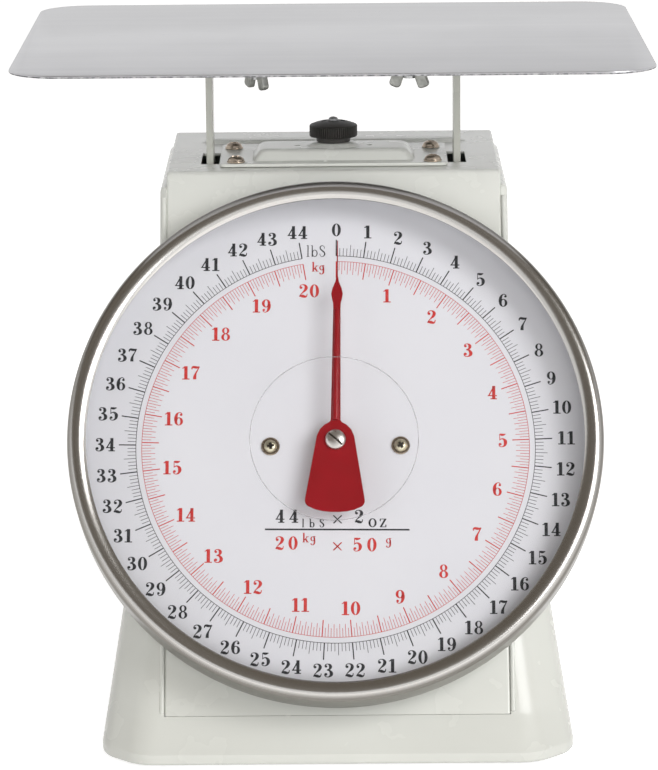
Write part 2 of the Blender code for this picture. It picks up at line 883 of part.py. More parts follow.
def spring_hanger(bench, steel):
    half = hanger_length / 2
    bar = block("spring_hanger", (-half, -hanger_depth / 2, 0), (half, hanger_depth / 2, hanger_thickness))
    place(bar, bench, (0, mech_y, hanger_height))
    boss_crest = hanger_thickness + hanger_boss_height
    boss = rod("spring_hanger_boss", hanger_boss_radius, hanger_thickness / 2, boss_crest)
    place(boss, bench, (0, mech_y, hanger_height))
    fuse(bar, boss)
    hole(bar, adjuster_radius + seat_gap, (0, mech_y, hanger_height), parent=bench,
         reach=boss_crest + overrun)
    for side in (-1, 1):
        spot = (side * spring_spacing / 2, mech_y, hanger_height + hanger_thickness / 2)
        hole(bar, plug_shank + seat_gap, spot, parent=bench, reach=hanger_thickness)
    finish(bar, steel)


# Springs between the hanger and the cross beam

beam_top = beam_height + beam_thickness
spring_low = beam_top + seat_gap + plug_flange + seat_gap + spring_wire
spring_high = hanger_height - seat_gap - plug_flange - seat_gap - spring_wire


def spring(name, side, bench, steel):
    curve = bpy.data.curves.new(name, 'CURVE')
    curve.dimensions = '3D'
    curve.bevel_depth = spring_wire
    curve.bevel_resolution = 1
    curve.use_fill_caps = True
    line = curve.splines.new('POLY')
    count = spring_turns * spring_turn_points + 1
    line.points.add(count - 1)
    for i, point in enumerate(line.points):
        angle = 2 * pi * i / spring_turn_points
        height = spring_low + (spring_high - spring_low) * i / (count - 1)
        point.co = (spring_radius * cos(angle), spring_radius * sin(angle), height, 1)
    pitch = (spring_high - spring_low) / spring_turns
    print(name, "least gap between turns, mm:", round((pitch - 2 * spring_wire) * 1000, 2))
    curve.materials.append(steel)
    coil = new_object(name, curve)
    place(coil, bench, (side * spring_spacing / 2, mech_y, 0))


def spring_plugs(names, seat, upward, plate, bench, steel):
    """A flanged plug in the end of each coil, its shank riveted over behind the plate it sits on."""
    core = spring_radius - spring_wire - plug_clearance
    reach = plug_flange + plug_length
    back = -plate - 2 * seat_gap
    profile = [(0, reach), (core, reach), (core, plug_flange), (plug_flange_radius, plug_flange),
               (plug_flange_radius, 0), (plug_shank, 0), (plug_shank, back), (plug_rivet, back),
               (plug_shank, back - plug_rivet_length), (0, back - plug_rivet_length)]
    copies(lambda name: turned(name, profile, small_steps), names,
           [(side * spring_spacing / 2, mech_y, seat) for side in (-1, 1)], steel, bench,
           [(0 if upward else pi, 0, 0)] * 2)


# Platform: plate, posts, fixings and cross beam

def platform_plate(bench, stainless):
    outline = rounded_rectangle(plate_width / 2, plate_depth / 2, plate_corner, corner_steps * 2)
    sheet = flat("platform_plate", [outline], plate_sheet)
    place(sheet, bench, (0, 0, plate_top - plate_sheet / 2))
    finish(sheet, stainless)


def platform_bracket(bench, enamel):
    post_x = post_spacing / 2
    web_middle = web_top - post_sheet / 2
    low = web_top - post_length
    line = [(-post_x, low), (-post_x, web_middle), (post_x, web_middle), (post_x, low)]
    strip = flat("platform_bracket", [bent_strip(line, post_sheet, post_bend)], post_depth)
    place(strip, bench, (0, mech_y, 0), upright_xz)
    for side in (-1, 1):
        hole(strip, stud_radius + seat_gap, (side * stud_spacing / 2, mech_y, web_middle), parent=bench)
        for height in (link_upper_height, link_lower_height):
            hole(strip, link_pin_radius + seat_gap, (side * post_x, mech_y, height), along_x, parent=bench)
        mortise_half = tongue_depth / 2 + seat_gap
        mortise = block("platform_bracket_mortise",
                        (side * post_x - post_sheet, mech_y - mortise_half, beam_height - seat_gap),
                        (side * post_x + post_sheet, mech_y + mortise_half, beam_top + seat_gap))
        place(mortise, bench)
        cut(strip, mortise)
    finish(strip, enamel)


def plate_fixings(bench, steel, zinc):
    copies(lambda name: rod(name, stud_radius, -stud_length, -seat_gap),
           ("plate_stud_left", "plate_stud_right"),
           [(side * stud_spacing / 2, mech_y, plate_top - plate_sheet) for side in (-1, 1)], steel, bench)
    seat = web_bottom - seat_gap
    for name, side, turn in (("wing_nut_left", -1, left_nut_turn), ("wing_nut_right", 1, right_nut_turn)):
        bore = stud_radius + seat_gap
        profile = [(bore, 0), (nut_hub_radius, 0), (nut_hub_tip_radius, -nut_hub_height),
                   (bore, -nut_hub_height)]
        hub = turned(name, profile, small_steps, closed=True)
        spot = (side * stud_spacing / 2, mech_y, seat)
        place(hub, bench, spot, (0, 0, turn))
        for wing_side in (-1, 1):
            run = Vector((wing_tip - wing_root, -(wing_drop - wing_root_drop)))
            across = Vector((-run.y, run.x)).normalized()
            lean = atan2(across.y, across.x)
            root = (wing_root, -wing_root_drop)
            tip = (wing_tip, -wing_drop)
            outline = arc(*root, wing_half_width, lean, lean + pi, corner_steps * 2)
            outline += arc(*tip, wing_half_width, lean + pi, lean + 2 * pi, corner_steps * 2)
            wing = flat(name + "_wing", [outline], wing_thickness)
            soften = wing.modifiers.new("round", 'BEVEL')
            soften.width = wing_thickness * wing_edge_share
            soften.segments = 1
            wing.data.transform(Matrix.Rotation(pi / 2, 4, 'X'))
            place(wing, bench, spot, (0, 0, turn + (0 if wing_side > 0 else pi)))
            fuse(hub, wing)
        hole(hub, bore, spot, parent=bench, reach=nut_hub_height + wing_drop)
        finish(hub, zinc, smooth=True)


def link_pins(bench, steel):
    """Pins that carry the check links: one on each post above, and one across both posts below."""
    inner = -post_sheet / 2 - seat_gap
    outer = post_sheet / 2 + link_side_gap + link_sheet + seat_gap
    profile = [(0, outer + pin_head), (pin_head_radius, outer + pin_head / 2), (pin_head_radius, outer),
               (link_pin_radius, outer), (link_pin_radius, inner), (pin_head_radius, inner),
               (pin_head_radius, inner - pin_head / 2), (0, inner - pin_head)]
    copies(lambda name: turned(name, profile, small_steps), ("upper_link_pin_left", "upper_link_pin_right"),
           [(side * post_spacing / 2, mech_y, link_upper_height) for side in (-1, 1)], steel, bench,
           [(0, side * pi / 2, 0) for side in (-1, 1)])
    reach = post_spacing / 2 + outer
    profile = [(0, reach + pin_head), (pin_head_radius, reach + pin_head / 2), (pin_head_radius, reach),
               (link_pin_radius, reach), (link_pin_radius, -reach), (pin_head_radius, -reach),
               (pin_head_radius, -reach - pin_head / 2), (0, -reach - pin_head)]
    copies(lambda name: turned(name, profile, small_steps), ["lower_link_pin"],
           [(0, mech_y, link_lower_height)], steel, bench, [along_x])


def dial_point(x, y, z):
    """A point of the dial's frame, in the bench frame."""
    return dial_centre + Vector((x, 0, 0)) + face_up * y + face_normal * z


hook_point = dial_point(0, rack_pin_offset, -gear_depth)
arm_x = rack_back + rack_side_gap


def cross_beam(bench, steel):
    """A bar tenoned into both posts, with a lug whose level slot carries the rack's pin."""
    inner = post_spacing / 2 - post_sheet / 2 - seat_gap
    outer = post_spacing / 2 + post_sheet / 2 + tongue_length
    half = beam_depth / 2
    outline = [(-inner, -half), (inner, -half), (inner, half), (-inner, half)]
    holes = [circle(side * spring_spacing / 2, 0, plug_shank + seat_gap) for side in (-1, 1)]
    beam = flat("cross_beam", [outline] + holes, beam_thickness)
    place(beam, bench, (0, mech_y, beam_height + beam_thickness / 2))
    for side in (-1, 1):
        near, far = sorted((side * (inner - tongue_length), side * outer))
        tongue = block("cross_beam_tongue", (near, -tongue_depth / 2, 0),
                       (far, tongue_depth / 2, beam_thickness))
        place(tongue, bench, (0, mech_y, beam_height))
        fuse(beam, tongue)
    slot_half = rack_pin_radius + rack_pin_play
    slot_back = hook_point.y
    slot_front = hook_point.y - rack_travel * sin(slope)
    root = mech_y - beam_depth / 2 + arm_root
    front = slot_front - slot_half - arm_margin
    low = hook_point.z - arm_half_height
    high = hook_point.z + arm_half_height
    edge = fillet([(front, low), (root, low), (root, high), (front, high)],
                  [arm_margin / 2, arm_margin / 2, arm_margin / 2, arm_margin / 2])
    slot = arc(slot_back, hook_point.z, slot_half, -pi / 2, pi / 2, corner_steps * 2)
    slot += arc(slot_front, hook_point.z, slot_half, pi / 2, 3 * pi / 2, corner_steps * 2)
    lug = flat("cross_beam_lug", [edge, slot], arm_sheet)
    place(lug, bench, (arm_x + arm_sheet / 2, 0, 0), upright_yz)
    fuse(beam, lug)
    finish(beam, steel)


# Check links, hinged on a channel on the back wall

link_x = post_spacing / 2 + post_sheet / 2 + link_side_gap + link_sheet / 2
link_angle = asin(platform_travel / 2 / link_length)
rod_y = mech_y + link_length * (1 + cos(link_angle)) / 2


def check_link(name, pin_height, bench, steel):
    """A frame of two arms and a tie, its origin on the rear rod's axis, level at half load."""
    pieces = []
    for side in (-1, 1):
        outline = arc(0, 0, link_half_height, -pi / 2, pi / 2, corner_steps * 2)
        outline += arc(-link_length, 0, link_half_height, pi / 2, 3 * pi / 2, corner_steps * 2)
        loops = [outline, circle(0, 0, link_rod_radius + running_gap),
                 circle(-link_length, 0, link_pin_radius + link_pin_play)]
        arm = flat(name if side < 0 else name + "_arm", loops, link_sheet)
        arm.data.transform(Matrix.Rotation(pi / 2, 4, 'Z') @ Matrix.Rotation(pi / 2, 4, 'X'))
        arm.data.transform(Matrix.Translation((side * link_x, 0, 0)))
        pieces.append(arm)
    tie = rod(name + "_tie", link_tie_radius, -link_x, link_x)
    tie.data.transform(Matrix.Rotation(pi / 2, 4, 'Y'))
    tie.data.transform(Matrix.Translation((0, -link_length * link_tie_share, 0)))
    pieces.append(tie)
    spot = (0, rod_y, pin_height - platform_travel / 2)
    for piece in pieces:
        place(piece, bench, spot, (-link_angle, 0, 0))
    fuse(pieces[0], pieces[1])
    fuse(pieces[0], tie)
    finish(pieces[0], steel)


def link_rods(bench, steel):
    half = link_x + link_sheet / 2 + seat_gap
    head = half + link_rod_head_length
    profile = [(0, head), (link_rod_head, head), (link_rod_head, half), (link_rod_radius, half),
               (link_rod_radius, -half), (link_rod_head, -half), (link_rod_head, -head), (0, -head)]
    for name, height in (("upper_link_rod", link_upper_height), ("lower_link_rod", link_lower_height)):
        axle = turned(name, profile, small_steps)
        place(axle, bench, (0, rod_y, height - platform_travel / 2), along_x)
        finish(axle, steel, smooth=True)


mount_low = link_lower_height - platform_travel / 2 - mount_margin
mount_high = link_upper_height - platform_travel / 2 + mount_margin


def mount_screw_heights():
    return mount_low + mount_screw_inset, mount_high - mount_screw_inset


def link_mount(bench, steel):
    back = back_inner - seat_gap
    middle = back - mount_sheet / 2
    ear = back - mount_ear_depth
    half = mount_half_width
    line = [(-half, ear), (-half, middle), (half, middle), (half, ear)]
    channel = flat("link_mount", [bent_strip(line, mount_sheet, mount_bend)], mount_high - mount_low)
    place(channel, bench, (0, 0, (mount_low + mount_high) / 2))
    opening = half - mount_window_margin
    window = block("link_mount_window", (-opening, ear - overrun, mount_low + mount_window_margin),
                   (opening, back + overrun, mount_high - mount_window_margin))
    place(window, bench)
    cut(channel, window)
    for height in (link_upper_height, link_lower_height):
        hole(channel, link_rod_radius + running_gap, (0, rod_y, height - platform_travel / 2), along_x,
             reach=half + overrun, parent=bench)
    for height in mount_screw_heights():
        hole(channel, mount_screw_shank + seat_gap, (0, middle, height), along_y, parent=bench)
    finish(channel, steel)
    copies(lambda name: pan_head(name, mount_screw_radius, mount_screw_head, mount_screw_shank,
                                 mount_screw_length),
           ("mount_screw_lower", "mount_screw_upper"),
           [(0, top_depth / 2 + seat_gap, height) for height in mount_screw_heights()], steel, bench,
           [(-pi / 2, 0, 0)] * 2)


# Dial pieces: Z is out of the face, and z = 0 is the printed face of the dial plate

pan_back = -dial_standoff + seat_gap
pan_ledge = -dial_plate_sheet - seat_gap
pan_wall_radius = bezel_radius - bezel_sheet - seat_gap


def dial_pan(dial, steel):
    bore = bush_radius + seat_gap
    half = pan_sheet / 2
    profile = [(pan_wall_radius, pan_wall_height), (pan_wall_radius, pan_ledge - pan_sheet),
               (pan_ledge_radius, pan_ledge - pan_sheet), (pan_seat_radius, pan_back), (bore, pan_back),
               (bore, pan_back + pan_sheet), (pan_seat_radius - half, pan_back + pan_sheet),
               (pan_ledge_radius - half, pan_ledge), (pan_wall_radius - pan_sheet, pan_ledge),
               (pan_wall_radius - pan_sheet, pan_wall_height)]
    pan = turned("dial_pan", profile, dial_steps, closed=True)
    place(pan, dial)
    for side in (-1, 1):
        profile = [(0, pan_ledge), (pip_radius, pan_ledge), (pip_radius + pan_sheet, pan_back + half),
                   (0, pan_back + half)]
        pip = turned("dial_pan_pip", profile, small_steps)
        place(pip, dial, (side * dial_screw_x, 0, 0))
        fuse(pan, pip)
        hole(pan, dial_screw_shank + seat_gap, (side * dial_screw_x, 0, pan_back), parent=dial,
             reach=dial_standoff + overrun)
    finish(pan, steel, smooth=True)


def dial_plate(dial, white):
    loops = [circle(0, 0, dial_plate_radius, dial_steps), circle(0, 0, dial_hole_radius)]
    loops += [circle(side * dial_screw_x, 0, dial_screw_shank + seat_gap) for side in (-1, 1)]
    disc = flat("dial_plate", loops, dial_plate_sheet)
    place(disc, dial, (0, 0, -dial_plate_sheet / 2))
    finish(disc, white)


def dial_screws(dial, nickel):
    shank = seat_gap * 2 - frame_face + frame_sheet + dial_screw_spare
    copies(lambda name: pan_head(name, dial_screw_radius, dial_screw_head, dial_screw_shank, shank),
           ("dial_screw_left", "dial_screw_right"),
           [(side * dial_screw_x, 0, seat_gap) for side in (-1, 1)], nickel, dial)


def bezel(dial, stainless):
    crest_x = bezel_radius - bezel_crest_round
    crest_z = bezel_crest - bezel_crest_round
    profile = [(bezel_lip_radius, bezel_lip_height)]
    profile += arc(crest_x, crest_z, bezel_crest_round, pi / 2, 0, corner_steps)
    profile += [(bezel_radius, bezel_back)]
    ring = thicken(turned("bezel", profile, dial_steps), bezel_sheet)
    place(ring, dial)
    finish(ring, stainless, smooth=True)


def lens(dial, clear, rubber):
    disc = turned("lens", [(0, lens_height + lens_thickness), (lens_radius, lens_height + lens_thickness),
                           (lens_radius, lens_height), (0, lens_height)], dial_steps)
    place(disc, dial)
    finish(disc, clear, smooth=True)
    high = lens_height - seat_gap
    low = high - seal_thickness
    outer = pan_wall_radius - seat_gap * 2
    profile = [(seal_inner_radius, high), (outer, high), (outer, low), (seal_inner_radius, low)]
    ring = turned("lens_seal", profile, dial_steps, closed=True)
    place(ring, dial)
    finish(ring, rubber, smooth=True)


# Pointer and shaft

def pointer(dial, red, nickel, brass):
    right = [(pointer_tip, pointer_reach), (pointer_tip, pointer_diamond_far),
             (pointer_diamond_half, pointer_diamond_mid), (pointer_neck, pointer_diamond_near)]
    shoulder_start = acos(pointer_root / pointer_shoulder)
    right += arc(0, 0, pointer_shoulder, shoulder_start, pointer_shoulder_end, corner_steps)
    foot = (0, -pointer_tail - pointer_tail_crown)
    right = fillet(right + [(pointer_tail_half, -pointer_tail), foot],
                   [0] * len(right) + [pointer_tail_round, 0], closed=False)
    outline = right + [(-x, y) for x, y in right[-2::-1]]
    blade = flat("pointer", [outline, circle(0, 0, hub_screw_shank + seat_gap, small_steps)], pointer_sheet)
    place(blade, dial, (0, 0, pointer_height + pointer_sheet / 2))
    finish(blade, red)
    hub_top = pointer_height - seat_gap
    wall = shaft_radius + seat_gap
    profile = [(wall, hub_top), (hub_radius, hub_top), (hub_radius, hub_top - hub_length),
               (wall, hub_top - hub_length)]
    collar = turned("pointer_hub", profile, small_steps, closed=True)
    place(collar, dial)
    finish(collar, brass, smooth=True)
    screw = pan_head("pointer_screw", hub_screw_radius, hub_screw_head, hub_screw_shank,
                     hub_screw_length + pointer_sheet, fine_steps)
    place(screw, dial, (0, 0, pointer_height + pointer_sheet + seat_gap))
    finish(screw, nickel, smooth=True)
    high = pointer_height - hub_screw_length
    low = frame_web - frame_sheet - bush_flange - seat_gap * 3
    spindle = rod("pointer_shaft", shaft_radius, low, high)
    place(spindle, dial)
    finish(spindle, nickel, smooth=True)


frame_face = -dial_standoff - cover_sheet - seat_gap
frame_web = -gear_depth - pinion_width / 2 - frame_web_gap


def bearing_frame(dial, steel, brass):
    foot_middle = frame_face - frame_sheet / 2
    web_middle = frame_web - frame_sheet / 2
    foot_end = frame_half_width + frame_foot
    line = [(-foot_end, foot_middle), (-frame_half_width, foot_middle), (-frame_half_width, web_middle),
            (frame_half_width, web_middle), (frame_half_width, foot_middle), (foot_end, foot_middle)]
    strip = flat("bearing_frame", [bent_strip(line, frame_sheet, frame_bend)], frame_depth)
    place(strip, dial, (0, 0, 0), upright_xz)
    hole(strip, bush_radius + seat_gap, (0, 0, web_middle), parent=dial)
    hole(strip, guide_neck + seat_gap, (guide_x, 0, web_middle), parent=dial)
    for side in (-1, 1):
        hole(strip, dial_screw_shank + seat_gap, (side * dial_screw_x, 0, foot_middle), parent=dial)
    finish(strip, steel)
    wall = shaft_radius + running_gap
    front = pan_back + pan_sheet + seat_gap
    profile = [(wall, front + bush_flange), (bush_flange_radius, front + bush_flange),
               (bush_flange_radius, front), (bush_radius, front), (bush_radius, front - bush_length),
               (wall, front - bush_length)]
    bush = turned("front_bush", profile, small_steps, closed=True)
    place(bush, dial)
    finish(bush, brass, smooth=True)
    rear = frame_web - frame_sheet - seat_gap
    profile = [(wall, rear + bush_length), (bush_radius, rear + bush_length), (bush_radius, rear),
               (bush_flange_radius, rear), (bush_flange_radius, rear - bush_flange),
               (wall, rear - bush_flange)]
    bush = turned("rear_bush", profile, small_steps, closed=True)
    place(bush, dial)
    finish(bush, brass, smooth=True)


# Gear teeth

def involute(base, radius):
    """The involute's polar angle where it reaches a radius."""
    roll = sqrt(max((radius / base) ** 2 - 1, 0))
    return roll - atan2(roll, 1)


def pinion_outline():
    base = pitch_radius * cos(tooth_pressure)
    tip = pitch_radius + tooth_module * tooth_addendum_share
    root = pitch_radius - tooth_module * tooth_dedendum_share
    half_tooth = pi / 2 / pinion_teeth - tooth_play / pitch_radius
    flank = [max(base, root) + (tip - max(base, root)) * share for share in tooth_flank_shares]
    points = []
    for tooth in range(pinion_teeth):
        middle = 2 * pi * tooth / pinion_teeth + pi / pinion_teeth
        angles = [half_tooth + involute(base, pitch_radius) - involute(base, radius) for radius in flank]
        points.append((root, middle - angles[0]))
        points += [(radius, middle - angle) for radius, angle in zip(flank, angles)]
        points += [(radius, middle + angle) for radius, angle in zip(flank[::-1], angles[::-1])]
        points.append((root, middle + angles[0]))
    return [(radius * cos(angle), radius * sin(angle)) for radius, angle in points]


def pinion(dial, brass):
    gear = flat("pinion", [pinion_outline(), circle(0, 0, shaft_radius + seat_gap / 2)], pinion_width)
    place(gear, dial, (0, 0, -gear_depth))
    finish(gear, brass)


guide_x = rack_back + guide_gap + guide_radius


def rack(dial, brass, steel):
    step = pi * tooth_module
    tip = pitch_radius - tooth_module * tooth_addendum_share
    root = pitch_radius + tooth_module * tooth_dedendum_share
    half_pitch = step / 4 - tooth_play
    lean = tan(tooth_pressure)
    count = int((rack_travel + 2 * rack_spare) / step)
    points = [(rack_back, -rack_spare - step)]
    points.append((root, -rack_spare - step))
    first = -round(rack_spare / step)
    for tooth in range(first, first + count):
        middle = tooth * step
        half_root = half_pitch + (root - pitch_radius) * lean
        half_tip = half_pitch - (pitch_radius - tip) * lean
        points += [(root, middle - half_root), (tip, middle - half_tip)]
        points += [(tip, middle + half_tip), (root, middle + half_root)]
    head = rack_pin_offset + rack_head
    points += [(root, head), (rack_back, head)]
    bar = flat("rack", [points], rack_width)
    place(bar, dial, (0, 0, -gear_depth))
    socket = rod("rack_socket", rack_pin_radius + seat_gap, -rack_pin_socket, overrun)
    place(socket, dial, (rack_back, rack_pin_offset, -gear_depth), along_x)
    cut(bar, socket)
    finish(bar, brass)
    far = rack_side_gap + arm_sheet + rack_side_gap / 2
    inside = seat_gap - rack_pin_socket
    profile = [(0, far + rack_pin_head_length), (rack_pin_head, far + rack_pin_head_length),
               (rack_pin_head, far), (rack_pin_radius, far), (rack_pin_radius, inside), (0, inside)]
    pin = turned("rack_pin", profile, small_steps)
    place(pin, dial, (rack_back, rack_pin_offset, -gear_depth), along_x)
    finish(pin, steel, smooth=True)
    low = frame_web - frame_sheet - seat_gap
    high = -gear_depth + rack_width / 2 + seat_gap
    shoulder = frame_web + seat_gap
    profile = [(0, high + guide_head_length), (guide_head, high + guide_head_length), (guide_head, high),
               (guide_radius, high), (guide_radius, shoulder), (guide_neck, shoulder), (guide_neck, low),
               (0, low)]
    stud = turned("rack_guide", profile, small_steps)
    place(stud, dial, (guide_x, 0, 0))
    finish(stud, steel, smooth=True)


def main():
    clear_scene()
    enamel = paint("cream_enamel", (0.74, 0.75, 0.70), 0.32)
    galvanised = paint("galvanised_steel", (0.55, 0.56, 0.57), 0.45, 0.9)
    stainless = paint("stainless_steel", (0.62, 0.62, 0.63), 0.28, 1.0)
    nickel = paint("nickel_screws", (0.50, 0.44, 0.36), 0.25, 1.0)
    zinc = paint("zinc_plate", (0.46, 0.47, 0.44), 0.35, 0.9)
    brass = paint("brass", (0.60, 0.45, 0.20), 0.35, 1.0)
    white = paint("dial_white", (0.80, 0.80, 0.84), 0.45)
    red = paint("pointer_red", (0.35, 0.01, 0.02), 0.35)
    black = paint("black_plastic", (0.02, 0.02, 0.02), 0.5)
    rubber = paint("rubber", (0.03, 0.03, 0.03), 0.8)
    clear = paint("clear_lens", (0.95, 0.97, 1.0), 0.05, 0.0, 0.15)
    spring_steel = paint("spring_steel", (0.35, 0.35, 0.36), 0.4, 1.0)

    back_reach = max(plate_depth / 2, rim_back)
    front_reach = max(bezel_reach - dial_centre.y, -rim_front, plate_depth / 2)
    bench = empty("bench", (0, (front_reach - back_reach) / 2, 0))
    dial = empty("dial_axis", dial_centre, (pi / 2 - slope, 0, 0), bench)
    print("bench y, mm:", round(bench.location.y * 1000, 4))
    print("dial centre, mm:", [round(1000 * value, 4) for value in dial_centre + bench.location])
    print("platform travel, mm:", round(platform_travel * 1000, 4))
    print("rack travel, mm:", round(rack_travel * 1000, 4))
    print("link angle, degrees:", round(degrees(link_angle), 4))
    print("rod y, mm:", round((rod_y + bench.location.y) * 1000, 4))

    base_shell(bench, enamel)
    cover(bench, dial, enamel)
    bottom_plate(bench, galvanised)
    feet(bench, rubber)
    side_screws(bench, galvanised)
    top_bracket(bench, enamel)
    bracket_screws(bench, nickel)
    zero_knob(bench, black, galvanised)
    spring_hanger(bench, galvanised)
    spring("spring_left", -1, bench, spring_steel)
    spring("spring_right", 1, bench, spring_steel)
    spring_plugs(("upper_plug_left", "upper_plug_right"), hanger_height - seat_gap, False, hanger_thickness,
                 bench, galvanised)
    spring_plugs(("lower_plug_left", "lower_plug_right"), beam_top + seat_gap, True, beam_thickness,
                 bench, galvanised)
    platform_plate(bench, stainless)
    platform_bracket(bench, enamel)
    plate_fixings(bench, galvanised, zinc)
    link_pins(bench, galvanised)
    cross_beam(bench, galvanised)
    check_link("upper_check_link", link_upper_height, bench, galvanised)
    check_link("lower_check_link", link_lower_height, bench, galvanised)
    link_rods(bench, galvanised)
    link_mount(bench, galvanised)
    dial_pan(dial, galvanised)
    dial_plate(dial, white)
    dial_screws(dial, nickel)
    bezel(dial, stainless)
    lens(dial, clear, rubber)
    bearing_frame(dial, galvanised, brass)
    pointer(dial, red, nickel, brass)
    pinion(dial, brass)
    rack(dial, brass, galvanised)
    bpy.context.view_layer.update()


main()
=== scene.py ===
import json
from math import atan2, cos, hypot, pi, radians, sin, tan

import bpy
from mathutils import Matrix, Vector


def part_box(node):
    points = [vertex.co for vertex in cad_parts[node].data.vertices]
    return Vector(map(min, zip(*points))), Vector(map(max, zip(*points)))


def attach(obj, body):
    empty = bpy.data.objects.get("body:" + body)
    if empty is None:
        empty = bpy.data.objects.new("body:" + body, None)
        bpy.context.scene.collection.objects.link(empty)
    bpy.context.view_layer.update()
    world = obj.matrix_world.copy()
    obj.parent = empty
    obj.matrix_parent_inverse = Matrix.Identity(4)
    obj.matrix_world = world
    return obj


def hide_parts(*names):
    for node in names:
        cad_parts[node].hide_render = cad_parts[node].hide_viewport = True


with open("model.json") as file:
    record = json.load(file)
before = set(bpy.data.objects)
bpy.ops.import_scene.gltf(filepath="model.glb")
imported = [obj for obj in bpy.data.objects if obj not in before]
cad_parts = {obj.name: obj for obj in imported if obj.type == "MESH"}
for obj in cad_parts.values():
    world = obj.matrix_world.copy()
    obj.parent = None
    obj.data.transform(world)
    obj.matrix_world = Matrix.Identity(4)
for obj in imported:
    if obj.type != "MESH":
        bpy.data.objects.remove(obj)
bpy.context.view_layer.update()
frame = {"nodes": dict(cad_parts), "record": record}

nodes = frame["nodes"]

# Sizes of the CAD model that the dressed pieces keep, in metres
bench_y = sum(corner.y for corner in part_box("platform_plate")) / 2
slope = radians(28)
top = 0.224
top_half_depth = 0.0526
cover_half = 0.0702
cover_foot = 0.0192
wall_half = 0.0730
post_x = 0.0525
mechanism_y = bench_y - 0.024
bracket_top = 0.2256
plate_top = 0.2736
dial_centre = Vector((0, bench_y - 0.118705, 0.1209751))
dial_turn = radians(1.0)
print_turn = radians(0.62)
dial_tilt = (radians(62), 0, 0)
sheet_steel = 0.0010
bracket_plateau = top + 0.0062
sides = ((-1, "left"), (1, "right"))


def face_y(height):
    return bench_y - top_half_depth - (top - height) * tan(slope)


# Camera

def into_scene(name, data):
    """A new object for data that is ready made."""
    made = bpy.data.objects.new(name, data)
    bpy.context.scene.collection.objects.link(made)
    return made


def aim_camera():
    sensor = 36
    picture_height = 770
    focal_length = 4001
    lens = bpy.data.cameras.new("camera")
    lens.sensor_fit = 'VERTICAL'
    lens.sensor_height = sensor
    lens.lens = focal_length * sensor / picture_height
    camera = into_scene("camera", lens)
    turn = (Matrix.Rotation(radians(0.230), 4, 'Z') @ Matrix.Rotation(radians(90 - 12.835), 4, 'X')
            @ Matrix.Rotation(radians(-0.518), 4, 'Z'))
    camera.matrix_world = Matrix.Translation((0.00394, bench_y - 1.7128, 0.5099)) @ turn
    bpy.context.scene.camera = camera


aim_camera()


# The bench: how pieces are added, shaped and finished

def only(*pieces):
    bpy.ops.object.select_all(action='DESELECT')
    for piece in pieces:
        piece.select_set(True)
    bpy.context.view_layer.objects.active = pieces[0]


def add(name, shape, **size):
    bpy.ops.object.select_all(action='DESELECT')
    getattr(bpy.ops.mesh, f"primitive_{shape}_add")(**size)
    piece = bpy.context.object
    piece.name = name
    return piece


def place(piece, spot=(0, 0, 0), turn=(0, 0, 0), size=(1, 1, 1)):
    """Puts a piece at a spot, then writes its place into its mesh."""
    only(piece)
    piece.scale = size
    piece.rotation_euler = turn
    piece.location = piece.location + Vector(spot)
    bpy.ops.object.transform_apply(location=True, rotation=True, scale=True)
    return piece


def on_dial(piece):
    return place(piece, dial_centre, dial_tilt)


def pick(piece, kind, test):
    """Goes into edit mode with the points, edges or faces selected whose middle passes the test."""
    only(piece)
    bpy.ops.object.mode_set(mode='EDIT')
    bpy.ops.mesh.select_mode(type=kind)
    bpy.ops.mesh.select_all(action='DESELECT')
    bpy.ops.object.mode_set(mode='OBJECT')
    mesh = piece.data
    points = mesh.vertices
    if kind == 'FACE':
        for face in mesh.polygons:
            face.select = bool(test(face.center, face.normal))
    elif kind == 'EDGE':
        for edge in mesh.edges:
            edge.select = bool(test(*(points[i].co for i in edge.vertices)))
    else:
        for point in points:
            point.select = bool(test(point.co))
    bpy.ops.object.mode_set(mode='EDIT')


def done():
    bpy.ops.object.mode_set(mode='OBJECT')


def everything(piece):
    only(piece)
    bpy.ops.object.mode_set(mode='EDIT')
    bpy.ops.mesh.select_mode(type='VERT')
    bpy.ops.mesh.select_all(action='SELECT')


def face_out(piece):
    everything(piece)
    bpy.ops.mesh.normals_make_consistent(inside=False)
    done()


def round_edges(piece, test, width, segments):
    """Bevels the edges whose two ends pass a test."""
    pick(piece, 'EDGE', test)
    bpy.ops.mesh.bevel(offset=width, segments=segments, affect='EDGES')
    done()


def drop_faces(piece, test, kind='FACE'):
    pick(piece, 'FACE', test)
    bpy.ops.mesh.delete(type=kind)
    done()


def draw_in(piece, kind, test, ratio, centre=(0, 0, 0)):
    """Scales the points or faces that pass a test."""
    pick(piece, kind, test)
    bpy.ops.transform.resize(value=ratio, center_override=centre)
    done()


def score(piece, cuts):
    """Adds edges along planes, each given as a point and a normal."""
    for point, normal in cuts:
        everything(piece)
        bpy.ops.mesh.bisect(plane_co=point, plane_no=normal)
        done()


def apply(piece, kind, **settings):
    only(piece)
    step = piece.modifiers.new(kind.lower(), kind)
    for name, value in settings.items():
        setattr(step, name, value)
    bpy.ops.object.modifier_apply(modifier=step.name)


def soften(piece, width, segments=2, angle=50):
    apply(piece, 'BEVEL', width=width, segments=segments, limit_method='ANGLE', angle_limit=radians(angle))


def discard(piece):
    bpy.data.objects.remove(piece, do_unlink=True)


def carve(piece, tool):
    apply(piece, 'BOOLEAN', operation='DIFFERENCE', solver='EXACT', object=tool)
    discard(tool)


def join(name, *pieces):
    only(*pieces)
    bpy.ops.object.join()
    pieces[0].name = name
    return pieces[0]


def again(piece, name):
    """A copy with its own mesh."""
    only(piece)
    bpy.ops.object.duplicate()
    copy = bpy.context.object
    copy.name = name
    return copy


